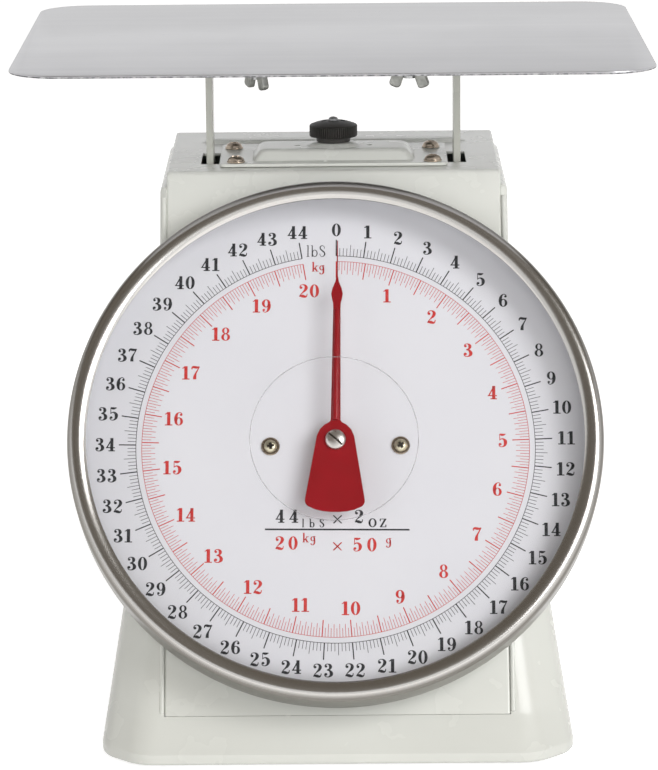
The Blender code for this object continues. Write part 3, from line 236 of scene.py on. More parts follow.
def spun(name, profile, steps=96, closed=False):
    """A turned piece on Z: a circle drawn out ring by ring along a profile of radii and heights."""
    capped = profile[0][0] == 0
    if capped:
        profile = profile[1:]
    radius, height = profile[0]
    piece = add(name, "circle", vertices=steps, radius=radius, location=(0, 0, height),
                fill_type='TRIFAN' if capped else 'NOTHING')
    place(piece)
    everything(piece)
    if capped:
        bpy.ops.mesh.region_to_loop()
    for new_radius, new_height in profile[1:]:
        bpy.ops.mesh.extrude_region_move()
        if new_radius:
            ratio = new_radius / radius
            bpy.ops.transform.resize(value=(ratio, ratio, 1), center_override=(0, 0, 0))
        bpy.ops.transform.translate(value=(0, 0, new_height - height))
        if not new_radius:
            bpy.ops.mesh.merge(type='CENTER')
        radius, height = new_radius, new_height
    bpy.ops.mesh.select_all(action='SELECT')
    if closed:
        bpy.ops.mesh.remove_doubles(threshold=0.000001)
    bpy.ops.mesh.normals_make_consistent(inside=False)
    done()
    return piece


def arc(x, y, radius, start, end, steps):
    """Points along an arc, angles in degrees."""
    return [(x + radius * cos(radians(start + (end - start) * i / steps)),
             y + radius * sin(radians(start + (end - start) * i / steps))) for i in range(steps + 1)]


def hand_over(piece, body, slot, replaces=(), crease=35):
    """Gives a piece its body. A piece without a finish of its own gets the given slot's finish."""
    if not any(piece.data.materials):
        piece.data.materials.clear()
        piece.data.materials.append(finishes[slot])
    only(piece)
    bpy.ops.object.shade_smooth_by_angle(angle=radians(crease))
    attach(piece, body)
    if replaces:
        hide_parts(*replaces)


# Shader trees

class Signal:
    """A socket of a shader tree that can be reckoned with."""

    def __init__(self, finish, socket):
        self.finish = finish
        self.socket = socket

    def maths(self, operation, *values):
        return self.finish.node('Math', {"operation": operation}, dict(enumerate(values)))

    def __add__(self, other):
        return self.maths('ADD', self, other)

    def __mul__(self, other):
        return self.maths('MULTIPLY', self, other)

    def __pow__(self, other):
        return self.maths('POWER', self, other)

    def __gt__(self, other):
        return self.maths('GREATER_THAN', self, other)

    def __lt__(self, other):
        return self.maths('LESS_THAN', self, other)

    __radd__ = __add__


class Finish:
    """A material: its tree, and one way to add any node to it."""

    def __init__(self, name, colour, roughness, metallic=0.0, **plain):
        self.material = bpy.data.materials.new(name)
        self.material.use_nodes = True
        self.tree = self.material.node_tree
        self.shader = self.tree.nodes["Principled BSDF"]
        self.set("Base Color", (*colour, 1.0))
        self.set("Roughness", roughness)
        self.set("Metallic", metallic)
        for socket, value in plain.items():
            self.set(socket.replace("_", " "), value)
        self.place = self.node('TexCoord', {}, {}, "Object")

    def set(self, name, value):
        self.feed(self.shader.inputs[name], value)

    def feed(self, socket, value):
        if isinstance(value, Signal):
            self.tree.links.new(value.socket, socket)
        else:
            socket.default_value = value

    def node(self, kind, settings, inputs, output=0):
        made = self.tree.nodes.new("ShaderNode" + kind)
        for name, value in settings.items():
            setattr(made, name, value)
        for name, value in inputs.items():
            self.feed(made.inputs[name], value)
        return Signal(self, made.outputs[output])

    def stretched(self, scale, turn=(0, 0, 0)):
        """Object coordinates turned, then stretched."""
        turned = self.node('Mapping', {"vector_type": 'POINT'}, {"Vector": self.place, "Rotation": turn})
        return self.node('Mapping', {"vector_type": 'POINT'}, {"Vector": turned, "Scale": scale})

    def split(self, vector):
        """The three parts of a vector."""
        parts = self.tree.nodes.new("ShaderNodeSeparateXYZ")
        self.feed(parts.inputs[0], vector)
        return [Signal(self, output) for output in parts.outputs]

    def noise(self, scale, detail=2.0, vector=None, rough=0.5):
        return self.node('TexNoise', {}, {"Vector": vector or self.place, "Scale": scale, "Detail": detail,
                                          "Roughness": rough})

    def span(self, value, low, high):
        """A value's range stretched to 0 to 1 and kept inside it."""
        return self.node('MapRange', {}, {"Value": value, "From Min": low, "From Max": high})

    def blend(self, share, *colours):
        """A colour between two, by a share."""
        first, second = ((*colour, 1.0) if isinstance(colour, tuple) else colour for colour in colours)
        return self.node('Mix', {"data_type": 'RGBA'}, {"Factor": share, 6: first, 7: second}, 2)

    def bump(self, height, distance, strength=1.0):
        self.set("Normal", self.node('Bump', {}, {"Height": height, "Distance": distance, "Strength": strength}))

    def dress(self, colour, roughness, height, distance, strength):
        """Sets what most finishes vary, and gives the material."""
        self.set("Base Color", colour)
        self.set("Roughness", roughness)
        self.bump(height, distance, strength)
        return self.material


def shade(colour, factor):
    return tuple(channel * factor for channel in colour)


cream = (0.715, 0.724, 0.676)


def enamel(cream=cream, name="cream_enamel"):
    """Stove enamel on sheet steel: a glossy skin with slight orange peel and faint clouds."""
    made = Finish(name, cream, 0.24, Coat_Weight=0.25, Coat_Roughness=0.16, Specular_IOR_Level=0.45)
    cloud = made.span(made.noise(14, 3), 0.3, 0.7)
    return made.dress(made.blend(cloud, shade(cream, 0.975), shade(cream, 1.015)), 0.25 + made.noise(60, 3) * 0.04,
                      made.noise(420, 2) + made.noise(90, 2) * 0.8, 0.00005, 0.35)


def brushed_plate():
    """Stainless sheet with a fine grain along X, faint rolling bands, a rougher torn edge whose colour is painted dark
    as shade, and a few light scratches.
    """
    made = Finish("brushed_stainless", (0.62, 0.62, 0.635), 0.34, 1.0)
    grain = made.noise(1.0, 5, made.stretched((14, 2600, 2600)), 0.65)
    bands = made.noise(1.0, 3, made.stretched((2.5, 95, 95)))
    smudge = made.span(made.noise(9, 4, None, 0.6), 0.42, 0.72)
    tone = made.span(grain * 0.55 + bands * 0.45, 0.3, 0.7)
    level = made.split(made.place)[2]
    sheared_and_shaded_edge = (level < plate_top - 0.00052) * (level > plate_top - 0.00114)
    edge_speckle = made.span(made.noise(1.0, 2, made.stretched((420, 420, 260))), 0.42, 0.62)
    face = made.blend(tone, (0.48, 0.48, 0.50), (0.555, 0.555, 0.57))
    # Painted shade: the cut edge's colour is darkened to stand for the dark line of shade along it; its higher
    # roughness is real.
    edge = made.blend(edge_speckle, (0.16, 0.16, 0.17), (0.46, 0.46, 0.47))
    scratch = made.node('TexVoronoi', {"feature": 'DISTANCE_TO_EDGE'},
                        {"Vector": made.stretched((3.2, 42, 42), (0, 0, radians(7))), "Scale": 1.0})
    return made.dress(made.blend(sheared_and_shaded_edge, face, edge), 0.25 + grain * 0.08 + smudge * 0.05 + sheared_and_shaded_edge * 0.2,
                      grain + made.span(scratch, 0.0, 0.012), 0.000012, 0.7)


def polished_rim():
    """Polished stainless, spun: fine rings about the dial's axis, soft waves, and a rougher outer wall whose colour is
    painted dark as a reflection.
    """
    made = Finish("polished_stainless", (0.60, 0.585, 0.565), 0.12, 1.0)
    x, y, z = made.split(made.node('Mapping', {"vector_type": 'TEXTURE'},
                                   {"Vector": made.place, "Rotation": dial_tilt, "Location": dial_centre}))
    radius = (x * x + y * y) ** 0.5
    lines = made.noise(1.0, 3, made.node('CombineXYZ', {}, {0: radius * 3600, 1: z * 3600, 2: x * 3}), 0.6)
    tone = made.span(lines, 0.3, 0.7)
    polish = made.blend(tone, (0.50, 0.485, 0.465), (0.60, 0.585, 0.565))
    # Painted reflection: the outer wall is coloured dark to stand for the dark surroundings that polished metal
    # mirrors.
    painted_dark_reflection = made.blend(tone, (0.19, 0.18, 0.165), (0.26, 0.245, 0.225))
    outer = made.span(radius, 0.1070, 0.1084)
    return made.dress(made.blend(outer, polish, painted_dark_reflection), 0.20 + lines * 0.06 + outer * 0.06,
                      made.noise(26, 2), 0.00003, 0.10)


def plated(name, colour, roughness, grain=900, depth=0.000003):
    """Plated steel: small crystals in the plating, with a slight tarnish between them."""
    made = Finish(name, colour, roughness, 1.0)
    crystal = made.node('TexVoronoi', {"feature": 'SMOOTH_F1'}, {"Vector": made.place, "Scale": grain})
    tarnish = made.noise(140, 3)
    return made.dress(made.blend(made.span(tarnish, 0.35, 0.75), shade(colour, 1.06), shade(colour, 0.72)),
                      roughness + crystal * 0.12 + tarnish * 0.08, made.noise(grain * 2, 3), depth, 0.6)


def grained(name, colour, roughness, metallic, tone, first, second, least, swing, grain, distance, strength, **plain):
    """A colour that wanders between two by a broad noise, with roughness and relief by a fine one."""
    made = Finish(name, colour, roughness, metallic, **plain)
    share = made.noise(*tone)
    fine = made.noise(*grain)
    return made.dress(made.blend(share, first, second), least + fine * swing, fine, distance, strength)


def cast_zinc():
    made = Finish("zinc_casting", (0.30, 0.305, 0.285), 0.42, 0.85)
    lumps = made.noise(900, 4, None, 0.6)
    wear = made.span(made.noise(260, 2), 0.35, 0.65)
    return made.dress(made.blend(wear, (0.32, 0.325, 0.305), (0.52, 0.525, 0.50)), 0.34 + lumps * 0.2,
                      lumps, 0.00008, 0.8)


def dial_enamel():
    """White lacquer under print: an even, slightly cool skin."""
    made = Finish("dial_white", (0.715, 0.715, 0.755), 0.38, Specular_IOR_Level=0.3)
    cloud = made.span(made.noise(20, 3), 0.3, 0.7)
    return made.dress(made.blend(cloud, (0.705, 0.705, 0.748), (0.725, 0.724, 0.762)),
                      0.34 + made.noise(500, 2) * 0.10, made.noise(650, 2), 0.00001, 0.4)


def ink(name, colour, thin):
    """Screen printed ink, a little uneven where it lies thin."""
    made = Finish(name, colour, 0.45, Specular_IOR_Level=0.3)
    patch = made.span(made.noise(900, 3), 0.45, 0.85)
    return made.dress(made.blend(patch * 0.4, colour, thin), 0.45, made.noise(1500, 2), 0.00001, 0.3)


def red_lacquer():
    made = Finish("pointer_red", (0.26, 0.004, 0.008), 0.26, Coat_Weight=0.05, Coat_Roughness=0.08,
                  Specular_IOR_Level=0.2)
    cloud = made.span(made.noise(120, 3), 0.3, 0.7)
    return made.dress(made.blend(cloud, (0.25, 0.0035, 0.007), (0.29, 0.005, 0.010)),
                      0.26 + made.noise(400, 2) * 0.05, made.noise(260, 2), 0.000006, 0.4)


def soft_rubber():
    made = Finish("black_rubber", (0.028, 0.028, 0.028), 0.72)
    dust = made.span(made.noise(260, 4), 0.45, 0.8)
    return made.dress(made.blend(dust * 0.5, (0.024, 0.024, 0.024), (0.075, 0.072, 0.068)), 0.62 + dust * 0.2,
                      made.noise(1800, 3), 0.00004, 0.7)


def clear_window():
    made = Finish("clear_lens", (0.96, 0.97, 0.98), 0.03, IOR=1.46)
    edge = made.node('LayerWeight', {}, {"Blend": 0.35}, 1)
    made.set("Alpha", 0.004 + (edge ** 4) * 0.16)
    made.set("Roughness", 0.02 + made.noise(40, 2) * 0.03)
    return made.material


def moulded_ring():
    made = Finish("moulded_ring", (0.42, 0.42, 0.44), 0.18)
    made.set("Alpha", 0.30 + made.noise(30, 1) * 0.25)
    made.set("Roughness", 0.12 + made.noise(200, 2) * 0.12)
    return made.material


finishes = {
    "cream_enamel": enamel(),
    "galvanised_steel": plated("galvanised_steel", (0.50, 0.505, 0.51), 0.30, 420, 0.00002),
    "stainless_sheet": brushed_plate(),
    "polished_stainless": polished_rim(),
    "nickel_plate": plated("nickel_plate", (0.43, 0.36, 0.285), 0.15),
    "zinc_casting": cast_zinc(),
    "brass": grained("brass", (0.60, 0.43, 0.17), 0.28, 1.0, (80, 3), (0.50, 0.34, 0.12), (0.68, 0.50, 0.22),
                     0.22, 0.18, (2500, 3, None, 0.6), 0.00001, 0.6),
    "spring_steel": grained("spring_steel", (0.20, 0.20, 0.21), 0.30, 1.0, (60, 3), (0.14, 0.14, 0.15),
                            (0.26, 0.255, 0.25), 0.22, 0.16, (700, 4), 0.00002, 0.5),
    "dial_white": dial_enamel(),
    "pointer_red": red_lacquer(),
    "black_plastic": grained("black_plastic", (0.022, 0.021, 0.019), 0.42, 0.0, (300, 2), (0.022, 0.021, 0.019),
                             (0.040, 0.037, 0.033), 0.34, 0.2, (2600, 3), 0.00002, 0.7, Specular_IOR_Level=0.4),
    "black_rubber": soft_rubber(),
    "bright_nickel": plated("bright_nickel", (0.72, 0.69, 0.66), 0.22),
    "pale_nickel": plated("pale_nickel", (0.66, 0.61, 0.46), 0.26),
    # Painted shade: a near-black colour for the floors of screw recesses.
    "recess_shade": ink("recess_shade", (0.030, 0.024, 0.018), (0.10, 0.085, 0.07)),
    "clear_lens": clear_window(),
}
black_ink = ink("black_ink", (0.026, 0.026, 0.030), (0.12, 0.12, 0.13))
red_ink = ink("red_ink", (0.56, 0.035, 0.032), (0.66, 0.16, 0.15))


def dress_cad():
    """Each CAD part gets its slot's finish, and the blocky ones among those in sight a fine bevel."""
    for entry in frame["record"]["subparts"]:
        node = nodes[entry["node"]]
        node.data.materials.clear()
        node.data.materials.append(finishes[entry["material_slot"]])
    # Painted shade: the platform bracket gets a darker copy of the cream enamel, standing for the shadow under the
    # plate.
    nodes["platform_bracket"].data.materials[0] = enamel((0.49, 0.495, 0.445), "post_enamel_painted_shade")
    for name in ("platform_bracket", "bottom_plate", "link_mount", "cross_beam"):
        nodes[name].modifiers.new("weld", 'WELD').merge_threshold = 0.00001
        edge = nodes[name].modifiers.new("edge", 'BEVEL')
        edge.width = 0.00035
        edge.segments = 2
        edge.limit_method = 'ANGLE'
        edge.angle_limit = radians(50)


dress_cad()


# Housing

def make_cover():
    """The wedge of sheet steel: front face, top and back in one bent sheet with closed sides."""
    cover = add("wedge_cover", "cube", size=1, location=(0, bench_y, (top + cover_foot) / 2))
    place(cover, size=(cover_half * 2, top_half_depth * 2, top - cover_foot))
    pick(cover, 'VERT', lambda p: p.y < bench_y and p.z < top - 0.01)
    bpy.ops.transform.translate(value=(0, face_y(cover_foot) - face_y(top), 0))
    done()
    drop_faces(cover, lambda c, n: n.z < -0.9)
    crown = top - 0.001
    round_edges(cover, lambda a, b: min(a.z, b.z) > crown and max(a.y, b.y) < bench_y, 0.0018, 6)
    round_edges(cover, lambda a, b: min(a.z, b.z) > crown and min(a.y, b.y) > bench_y + 0.05, 0.0017, 6)
    round_edges(cover, lambda a, b: a.x * b.x > 0 and max(a.z, b.z) > cover_foot + 0.001
                and min(abs(a.x), abs(b.x)) > cover_half - 0.0001, 0.0011, 4)
    apply(cover, 'SOLIDIFY', thickness=sheet_steel, offset=-1.0, use_even_offset=True)
    for side, name in sides:
        slot = add("slot_" + name, "cube", size=1, location=(side * post_x, mechanism_y + 0.0045, top))
        carve(cover, place(slot, size=(0.0078, 0.0280, 0.006)))
    hand_over(cover, "housing", "cream_enamel", ["housing_cover"])


def make_rib():
    """The stiffening swage across the top, behind the bracket."""
    middle_y = bench_y + 0.0241
    length, width, height = 0.124, 0.0136, 0.0030
    crest_length, crest_width = 0.106, 0.0104
    rib = add("top_rib", "cube", size=1, location=(0, middle_y, top + 0.0002))
    place(rib, size=(length, width, height))
    draw_in(rib, 'FACE', lambda c, n: n.z > 0.9, (crest_length / length, crest_width / width, 1), (0, middle_y, 0))
    round_edges(rib, lambda a, b: abs(a.z - b.z) > 0.001, 0.0050, 6)
    round_edges(rib, lambda a, b: min(a.z, b.z) > top + 0.001, 0.0014, 4)
    hand_over(rib, "housing", "cream_enamel")


def rounded_sheet(name, half_x, low_y, high_y, radius, height, steps=10, round_off=0.0):
    """A flat sheet with rounded corners, or with a facet across each whose ends are rounded off."""
    sheet = add(name, "plane", size=2, location=(0, (low_y + high_y) / 2, height))
    place(sheet, size=(half_x, (high_y - low_y) / 2, 1))
    everything(sheet)
    bpy.ops.mesh.bevel(offset=radius, segments=steps, affect='VERTICES')
    done()
    if round_off:
        everything(sheet)
        bpy.ops.mesh.bevel(offset=radius * round_off, segments=6, affect='VERTICES')
        done()
    return sheet


def make_base():
    """Side walls and flared skirt, drawn from one level ring to the next."""
    hem = 0.0015
    rim_top = 0.006
    rim_half = cover_half + 0.0259
    flare = 0.147
    spread = 0.0105
    rim_front = face_y(cover_foot) - spread
    rim_back = bench_y + top_half_depth + spread
    wall_top = top - 0.0058
    curl = 0.0026
    wall_radius, rim_radius, least_radius = 0.003, 0.0155, 0.0012

    def section(height, inset=0.0):
        rise = min(max((height - rim_top) / (flare - rim_top), 0), 1)
        half = rim_half + (wall_half - rim_half) * rise
        radius = wall_radius + (rim_radius - wall_radius) * (1 - rise * rise)
        share = min(max((height - rim_top) / (cover_foot - rim_top), 0), 1)
        front = face_y(height) if height >= cover_foot else rim_front + spread * share
        back = rim_back - spread * share
        return [half - inset, front + inset, back - inset, max(radius - inset, least_radius)]

    tuck, hair = 0.0235, 0.00001
    rings = [(hem, section(hem, tuck)), (hem + hair, section(hem, hem + 0.0001))]
    rings += [(hem + hem * (1 - cos(a)), section(hem, hem * (1 - sin(a)))) for a in map(radians, (30, 60, 90))]
    rings += [(height, section(height)) for height in (
        rim_top, rim_top + 0.0005, cover_foot - 0.0008, cover_foot + 0.0008,
        0.05, 0.09, 0.12, flare - 0.003, flare, flare + 0.005, wall_top - curl)]
    half, front, back, radius = section(wall_top - curl)
    for a in map(radians, (18, 36, 54, 72, 90)):
        inset = curl * (1 - cos(a))
        rings.append((wall_top - curl + curl * sin(a),
                      [half - inset, front + inset, back - inset, max(radius - inset, least_radius)]))
    facet_ends = 0.40
    loops = [rounded_sheet(f"ring_{i}", *size, height, 1, facet_ends) for i, (height, size) in enumerate(rings)]
    shell = join("base_skirt", *loops)
    drop_faces(shell, lambda c, n: True, 'ONLY_FACE')
    levels = [height for height, size in rings]
    near = 0.000004
    for low, high in zip(levels, levels[1:]):
        pick(shell, 'EDGE', lambda a, b: abs(a.z - b.z) < near and min(abs(a.z - low), abs(a.z - high)) < near)
        bpy.ops.mesh.bridge_edge_loops()
        done()
    face_out(shell)
    cut_half = cover_half + 0.00010
    sill = cover_foot - 0.00008
    score(shell, (((cut_half, 0, 0), (1, 0, 0)), ((-cut_half, 0, 0), (1, 0, 0)), ((0, 0, sill), (0, 0, 1))))
    drop_faces(shell, lambda c, n: abs(c.x) < cut_half and c.z > sill)
    apply(shell, 'SOLIDIFY', thickness=sheet_steel, offset=-1.0, use_even_offset=False)
    soften(shell, 0.00046, 3, 60)
    hand_over(shell, "housing", "cream_enamel", ["base_shell"])


def make_seam_rolls():
    """The rolled front edges of the side walls, beside the wedge's face."""
    low = cover_foot + 0.0008
    high = top - 0.0100
    length = (high - low) / cos(slope)
    middle = (low + high) / 2
    radius = 0.0011
    for side, name in sides:
        roll = add("seam_roll_" + name, "cylinder", vertices=20, radius=radius, depth=length)
        pick(roll, 'FACE', lambda c, n: abs(n.z) > 0.9)
        bpy.ops.mesh.bevel(offset=0.0006, segments=4, affect='EDGES')
        done()
        place(roll, size=(0.9, 0.8, 1))
        place(roll, (side * (cover_half + 0.00105), face_y(middle) + 0.0001, middle), (-slope, 0, 0))
        hand_over(roll, "housing", "cream_enamel")


def make_bracket():
    """The pressed bracket over the spring hanger, with its raised middle and the knob's round seat."""
    foot_half, foot_front, foot_back = 0.0345, mechanism_y - 0.0122, mechanism_y + 0.0158
    plateau_half, plateau_depth = 0.0310, 0.0234
    bracket = rounded_sheet("pressed_bracket", 0.0482, mechanism_y - 0.0195, mechanism_y + 0.0330, 0.0030,
                            bracket_top, 5)
    score(bracket, (((-foot_half, 0, 0), (1, 0, 0)), ((foot_half, 0, 0), (1, 0, 0)),
                    ((0, foot_front, 0), (0, 1, 0)), ((0, foot_back, 0), (0, 1, 0))))
    pick(bracket, 'FACE', lambda c, n: abs(c.x) < foot_half and foot_front < c.y < foot_back)
    bpy.ops.mesh.extrude_region_move(TRANSFORM_OT_translate={"value": (0, 0.0002, bracket_plateau - bracket_top)})
    bpy.ops.transform.resize(value=(plateau_half / foot_half, plateau_depth / (foot_back - foot_front), 1),
                             center_override=(0, mechanism_y + 0.0011, bracket_plateau))
    done()
    high = bracket_plateau - 0.0001
    round_edges(bracket, lambda a, b: min(a.z, b.z) <= high < max(a.z, b.z), 0.0030, 6)
    round_edges(bracket, lambda a, b: min(a.z, b.z) > high, 0.0019, 5)
    apply(bracket, 'SOLIDIFY', thickness=0.0013, offset=-1.0, use_even_offset=True)
    soften(bracket, 0.0004, 3, 60)
    for side, name in sides:
        carve(bracket, add("drill_" + name, "cylinder", vertices=24, radius=0.0013, depth=0.006,
                           location=(side * 0.0153, mechanism_y, bracket_plateau)))
    seat = spun("knob_seat", [(0.0034, 0.0016), (0.0078, 0.0016), (0.0088, 0.0014), (0.0100, 0.0008),
                              (0.0112, 0.0002), (0.0121, -0.0002)], 64)
    place(seat, (0, mechanism_y, bracket_plateau))
    draw_in(seat, 'VERT', lambda p: p.y < mechanism_y - 0.0001, (1, 0.73, 1), (0, mechanism_y, 0))
    hand_over(seat, "housing", "cream_enamel")
    hand_over(bracket, "housing", "cream_enamel", ["top_bracket"])


def cross_screw(name, radius, height, metal, cross=0.5, slot=0.16):
    """A domed screw head with a cross recess, standing on z = 0."""
    profile = [(0, -0.0002), (radius * 0.97, -0.0002), (radius, 0), (radius * 0.99, height * 0.14)]
    profile += [(radius * 0.90 * cos(radians(a)), height * (0.20 + 0.80 * sin(radians(a))))
                for a in (0, 16, 32, 48, 62, 78)]
    head = spun(name, profile + [(0, height)], 40)
    shade_floors = []
    for turn in (0, pi / 2):
        bit = add("bit", "cube", size=1, location=(0, 0, height))
        place(bit, size=(radius * cross * 2, radius * slot * 2, height * 0.9))
        draw_in(bit, 'FACE', lambda c, n: n.z < -0.9, (0.62, 0.85, 1), (0, 0, height))
        carve(head, place(bit, turn=(0, 0, turn)))
        # Each recess gets a dark sheet on its floor: painted shade.
        shade_floors.append(recess_floor(radius * cross * 1.72, radius * slot * 1.80, height * 0.64, turn))
    soften(head, radius * 0.018, 2, 50)
    return two_tone(head, metal, *shade_floors)


def recess_floor(length, width, height, turn):
    """A dark sheet at the bottom of a driver's recess: painted shade."""
    floor = add("recess_floor", "cube", size=1)
    place(floor, size=(length, width, 0.0001))
    soften(floor, 0.00003, 2, 50)
    return place(floor, (0, 0, height), (0, 0, turn))


def two_tone(head, metal, *shade_floors):
    head.data.materials.append(finishes[metal])
    for floor in shade_floors:
        floor.data.materials.append(finishes["recess_shade"])
    return join(head.name, head, *shade_floors)


def make_bracket_screws():
    head = cross_screw("cross_head", 0.0039, 0.0027, "nickel_plate", 0.60, 0.19)
    for name, x, y, turn in (("front_left", -0.0413, -0.0150, 20), ("front_right", 0.0420, -0.0150, -15),
                             ("rear_left", -0.0430, 0.0205, 5), ("rear_right", 0.0420, 0.0205, 62)):
        screw = again(head, "cross_screw_" + name)
        place(screw, (x, mechanism_y + y, bracket_top + 0.0003), (0, 0, radians(turn)))
        hand_over(screw, "housing", "nickel_plate", ["bracket_screw_" + name])
    discard(head)


def make_wall_screws():
    """Pan heads on the side walls and on the back."""
    head = cross_screw("pan_head", 0.0034, 0.0018, "galvanised_steel")
    for side, name in sides:
        screw = again(head, "wall_screw_" + name)
        place(screw, (side * (wall_half + 0.0003), bench_y + 0.0486, 0.153), (0, side * pi / 2, 0))
        hand_over(screw, "housing", "galvanised_steel", ["side_screw_" + name])
    for name in ("lower", "upper"):
        low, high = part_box("mount_screw_" + name)
        screw = again(head, "back_screw_" + name)
        place(screw, (0, bench_y + top_half_depth + 0.0003, (low.z + high.z) / 2), (-pi / 2, 0, 0))
        hand_over(screw, "housing", "galvanised_steel", ["mount_screw_" + name])
    discard(head)


def make_feet():
    foot = spun("foot", [(0, 0), (0.0072, 0), (0.0080, 0.0002), (0.0085, 0.0006), (0.0085, 0.0012), (0, 0.0012)], 40)
    for corner in ("front_left", "front_right", "rear_left", "rear_right"):
        low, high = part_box("foot_" + corner)
        pad = again(foot, "rubber_foot_" + corner)
        place(pad, ((low.x + high.x) / 2, (low.y + high.y) / 2, 0))
        hand_over(pad, "housing", "black_rubber", ["foot_" + corner])
    discard(foot)


make_cover()
make_rib()
make_base()
make_seam_rolls()
make_bracket()
make_bracket_screws()
make_wall_screws()
make_feet()


# Zero knob

def make_knob():
    base = bracket_plateau + 0.0019
    ridges = 66
    steps = ridges * 4
    profile = [(0, 0), (0.0070, 0), (0.0073, 0.0003), (0.0073, 0.0018), (0.0078, 0.0020), (0.0094, 0.00205)]
    profile += [(0.0100, 0.0022), (0.0102, 0.0026), (0.0102, 0.0066), (0.0101, 0.0069), (0.0097, 0.0072)]
    profile += [(0.0090, 0.00745), (0.0075, 0.0080), (0.0056, 0.0085), (0.0034, 0.0088), (0, 0.0089)]
    knob = spun("knurled_knob", profile, steps)
    draw_in(knob, 'VERT', lambda p: hypot(p.x, p.y) > 0.0101 and 0.0024 < p.z < 0.0068
            and int(atan2(p.y, p.x) / (2 * pi) * steps + steps + 0.5) % 4 < 2, (0.935, 0.935, 1))
    for side, name in sides:
        carve(knob, add("drill_" + name, "cylinder", vertices=20, radius=0.0013, depth=0.005,
                        location=(side * 0.0041, 0, 0.0088)))
    place(knob, (0, mechanism_y, base))
    hand_over(knob, "zero_knob", "black_plastic", ["zero_knob"], 40)
    screw = cross_screw("knob_screw", 0.0023, 0.0015, "galvanised_steel")
    place(screw, (0, mechanism_y, base + 0.0090), (0, 0, radians(30)))
    hand_over(screw, "zero_knob", "galvanised_steel", ["zero_knob_screw"])


make_knob()


# Plate and wing nuts

def make_plate():
    half_width, half_depth, corner, thickness = 0.1325, 0.1106, 0.022, 0.0012
    sheet = rounded_sheet("weighing_plate", half_width, bench_y - half_depth, bench_y + half_depth, corner,
                          plate_top, 16)
    apply(sheet, 'SOLIDIFY', thickness=thickness, offset=-1.0, use_even_offset=True)
    soften(sheet, 0.0003, 2, 60)
    hand_over(sheet, "platform", "stainless_sheet", ["platform_plate"])


def make_wing_nuts():
    """Cast wing nuts: a hub and two wings, melted into one."""
    hub = spun("wing_nut", [(0, 0), (0.0050, 0), (0.0052, -0.0003), (0.0050, -0.0018), (0.0042, -0.0045),
                            (0.0038, -0.0048), (0, -0.0048)], 40)
    wings = []
    for side, name in sides:
        wing = add("wing_" + name, "cube", size=1)
        place(wing, size=(0.0044, 0.0028, 0.0150))
        draw_in(wing, 'FACE', lambda c, n: n.z < -0.9, (1.16, 1.12, 1))
        round_edges(wing, lambda a, b: abs(a.y - b.y) > 0.001, 0.0016, 5)
        soften(wing, 0.0006, 3, 40)
        wings.append(place(wing, (side * 0.0041, 0, -0.0068), (0, -side * radians(20), 0)))
    nut = join("wing_nut", hub, *wings)
    apply(nut, 'REMESH', mode='VOXEL', voxel_size=0.00028)
    apply(nut, 'SMOOTH', factor=0.5, iterations=5)
    for (side, name), turn in zip(sides, (-60, -14)):
        piece = again(nut, "cast_wing_nut_" + name)
        low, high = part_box("wing_nut_" + name)
        place(piece, (side * 0.0325, mechanism_y, high.z), (0, 0, radians(turn)))
        hand_over(piece, "wing_nut_" + name, "zinc_casting", ["wing_nut_" + name], 60)
    discard(nut)


make_plate()
make_wing_nuts()


# Dial

def make_bezel():
    """Spun bezel: outer wall, round crest and a lip that slopes down to a rolled edge."""
    outer = 0.1092
    crest = 0.0180
    lip = 0.1012
    roll = 0.0038
    profile = [(outer - 0.0010, 0.0015), (outer - 0.0002, 0.0016), (outer, 0.0020), (outer, 0.0060)]
    profile += arc(outer - roll, crest - roll, roll, 0, 90, 16)
    profile += arc(outer - 0.0040, crest - 0.0060, 0.0060, 94, 130, 9)
    profile += arc(lip + 0.0005, 0.0163, 0.0004, 110, 260, 6)
    profile += [(0.1028, 0.0162), (0.1050, 0.0170)]
    profile += arc(outer - roll, crest - roll, roll - 0.0008, 90, 0, 8)
    profile += [(outer - 0.0008, 0.0024), (outer - 0.0010, 0.0015)]
    ring = spun("spun_bezel", profile, 192, True)
    hand_over(on_dial(ring), "housing", "polished_stainless", ["bezel"], 50)


def make_window():
    radius, low, high = 0.1052, 0.0135, 0.0153
    edge = 0.0002
    window = spun("dial_window", [(0, low), (radius - edge, low), (radius, low + edge), (radius, high - edge),
                                  (radius - edge, high), (0, high)], 128)
    hand_over(on_dial(window), "housing", "clear_lens", ["lens"])
    seal = spun("window_seal", arc(0.1054, 0.0122, 0.00098, 0, 360, 12), 128, True)
    draw_in(seal, 'VERT', lambda p: True, (0.9995, 0.9995, 1))
    hand_over(on_dial(seal), "housing", "black_rubber", ["lens_seal"])


def make_window_ring():
    """The fine raised circle moulded on the window round the pointer's hub."""
    ring = spun("window_ring", arc(0.0343, 0.01532, 0.00016, 0, 360, 8), 128, True)
    ring.data.materials.append(moulded_ring())
    place(ring, (-0.0005, -0.0005, 0))
    hand_over(on_dial(ring), "housing", "clear_lens")


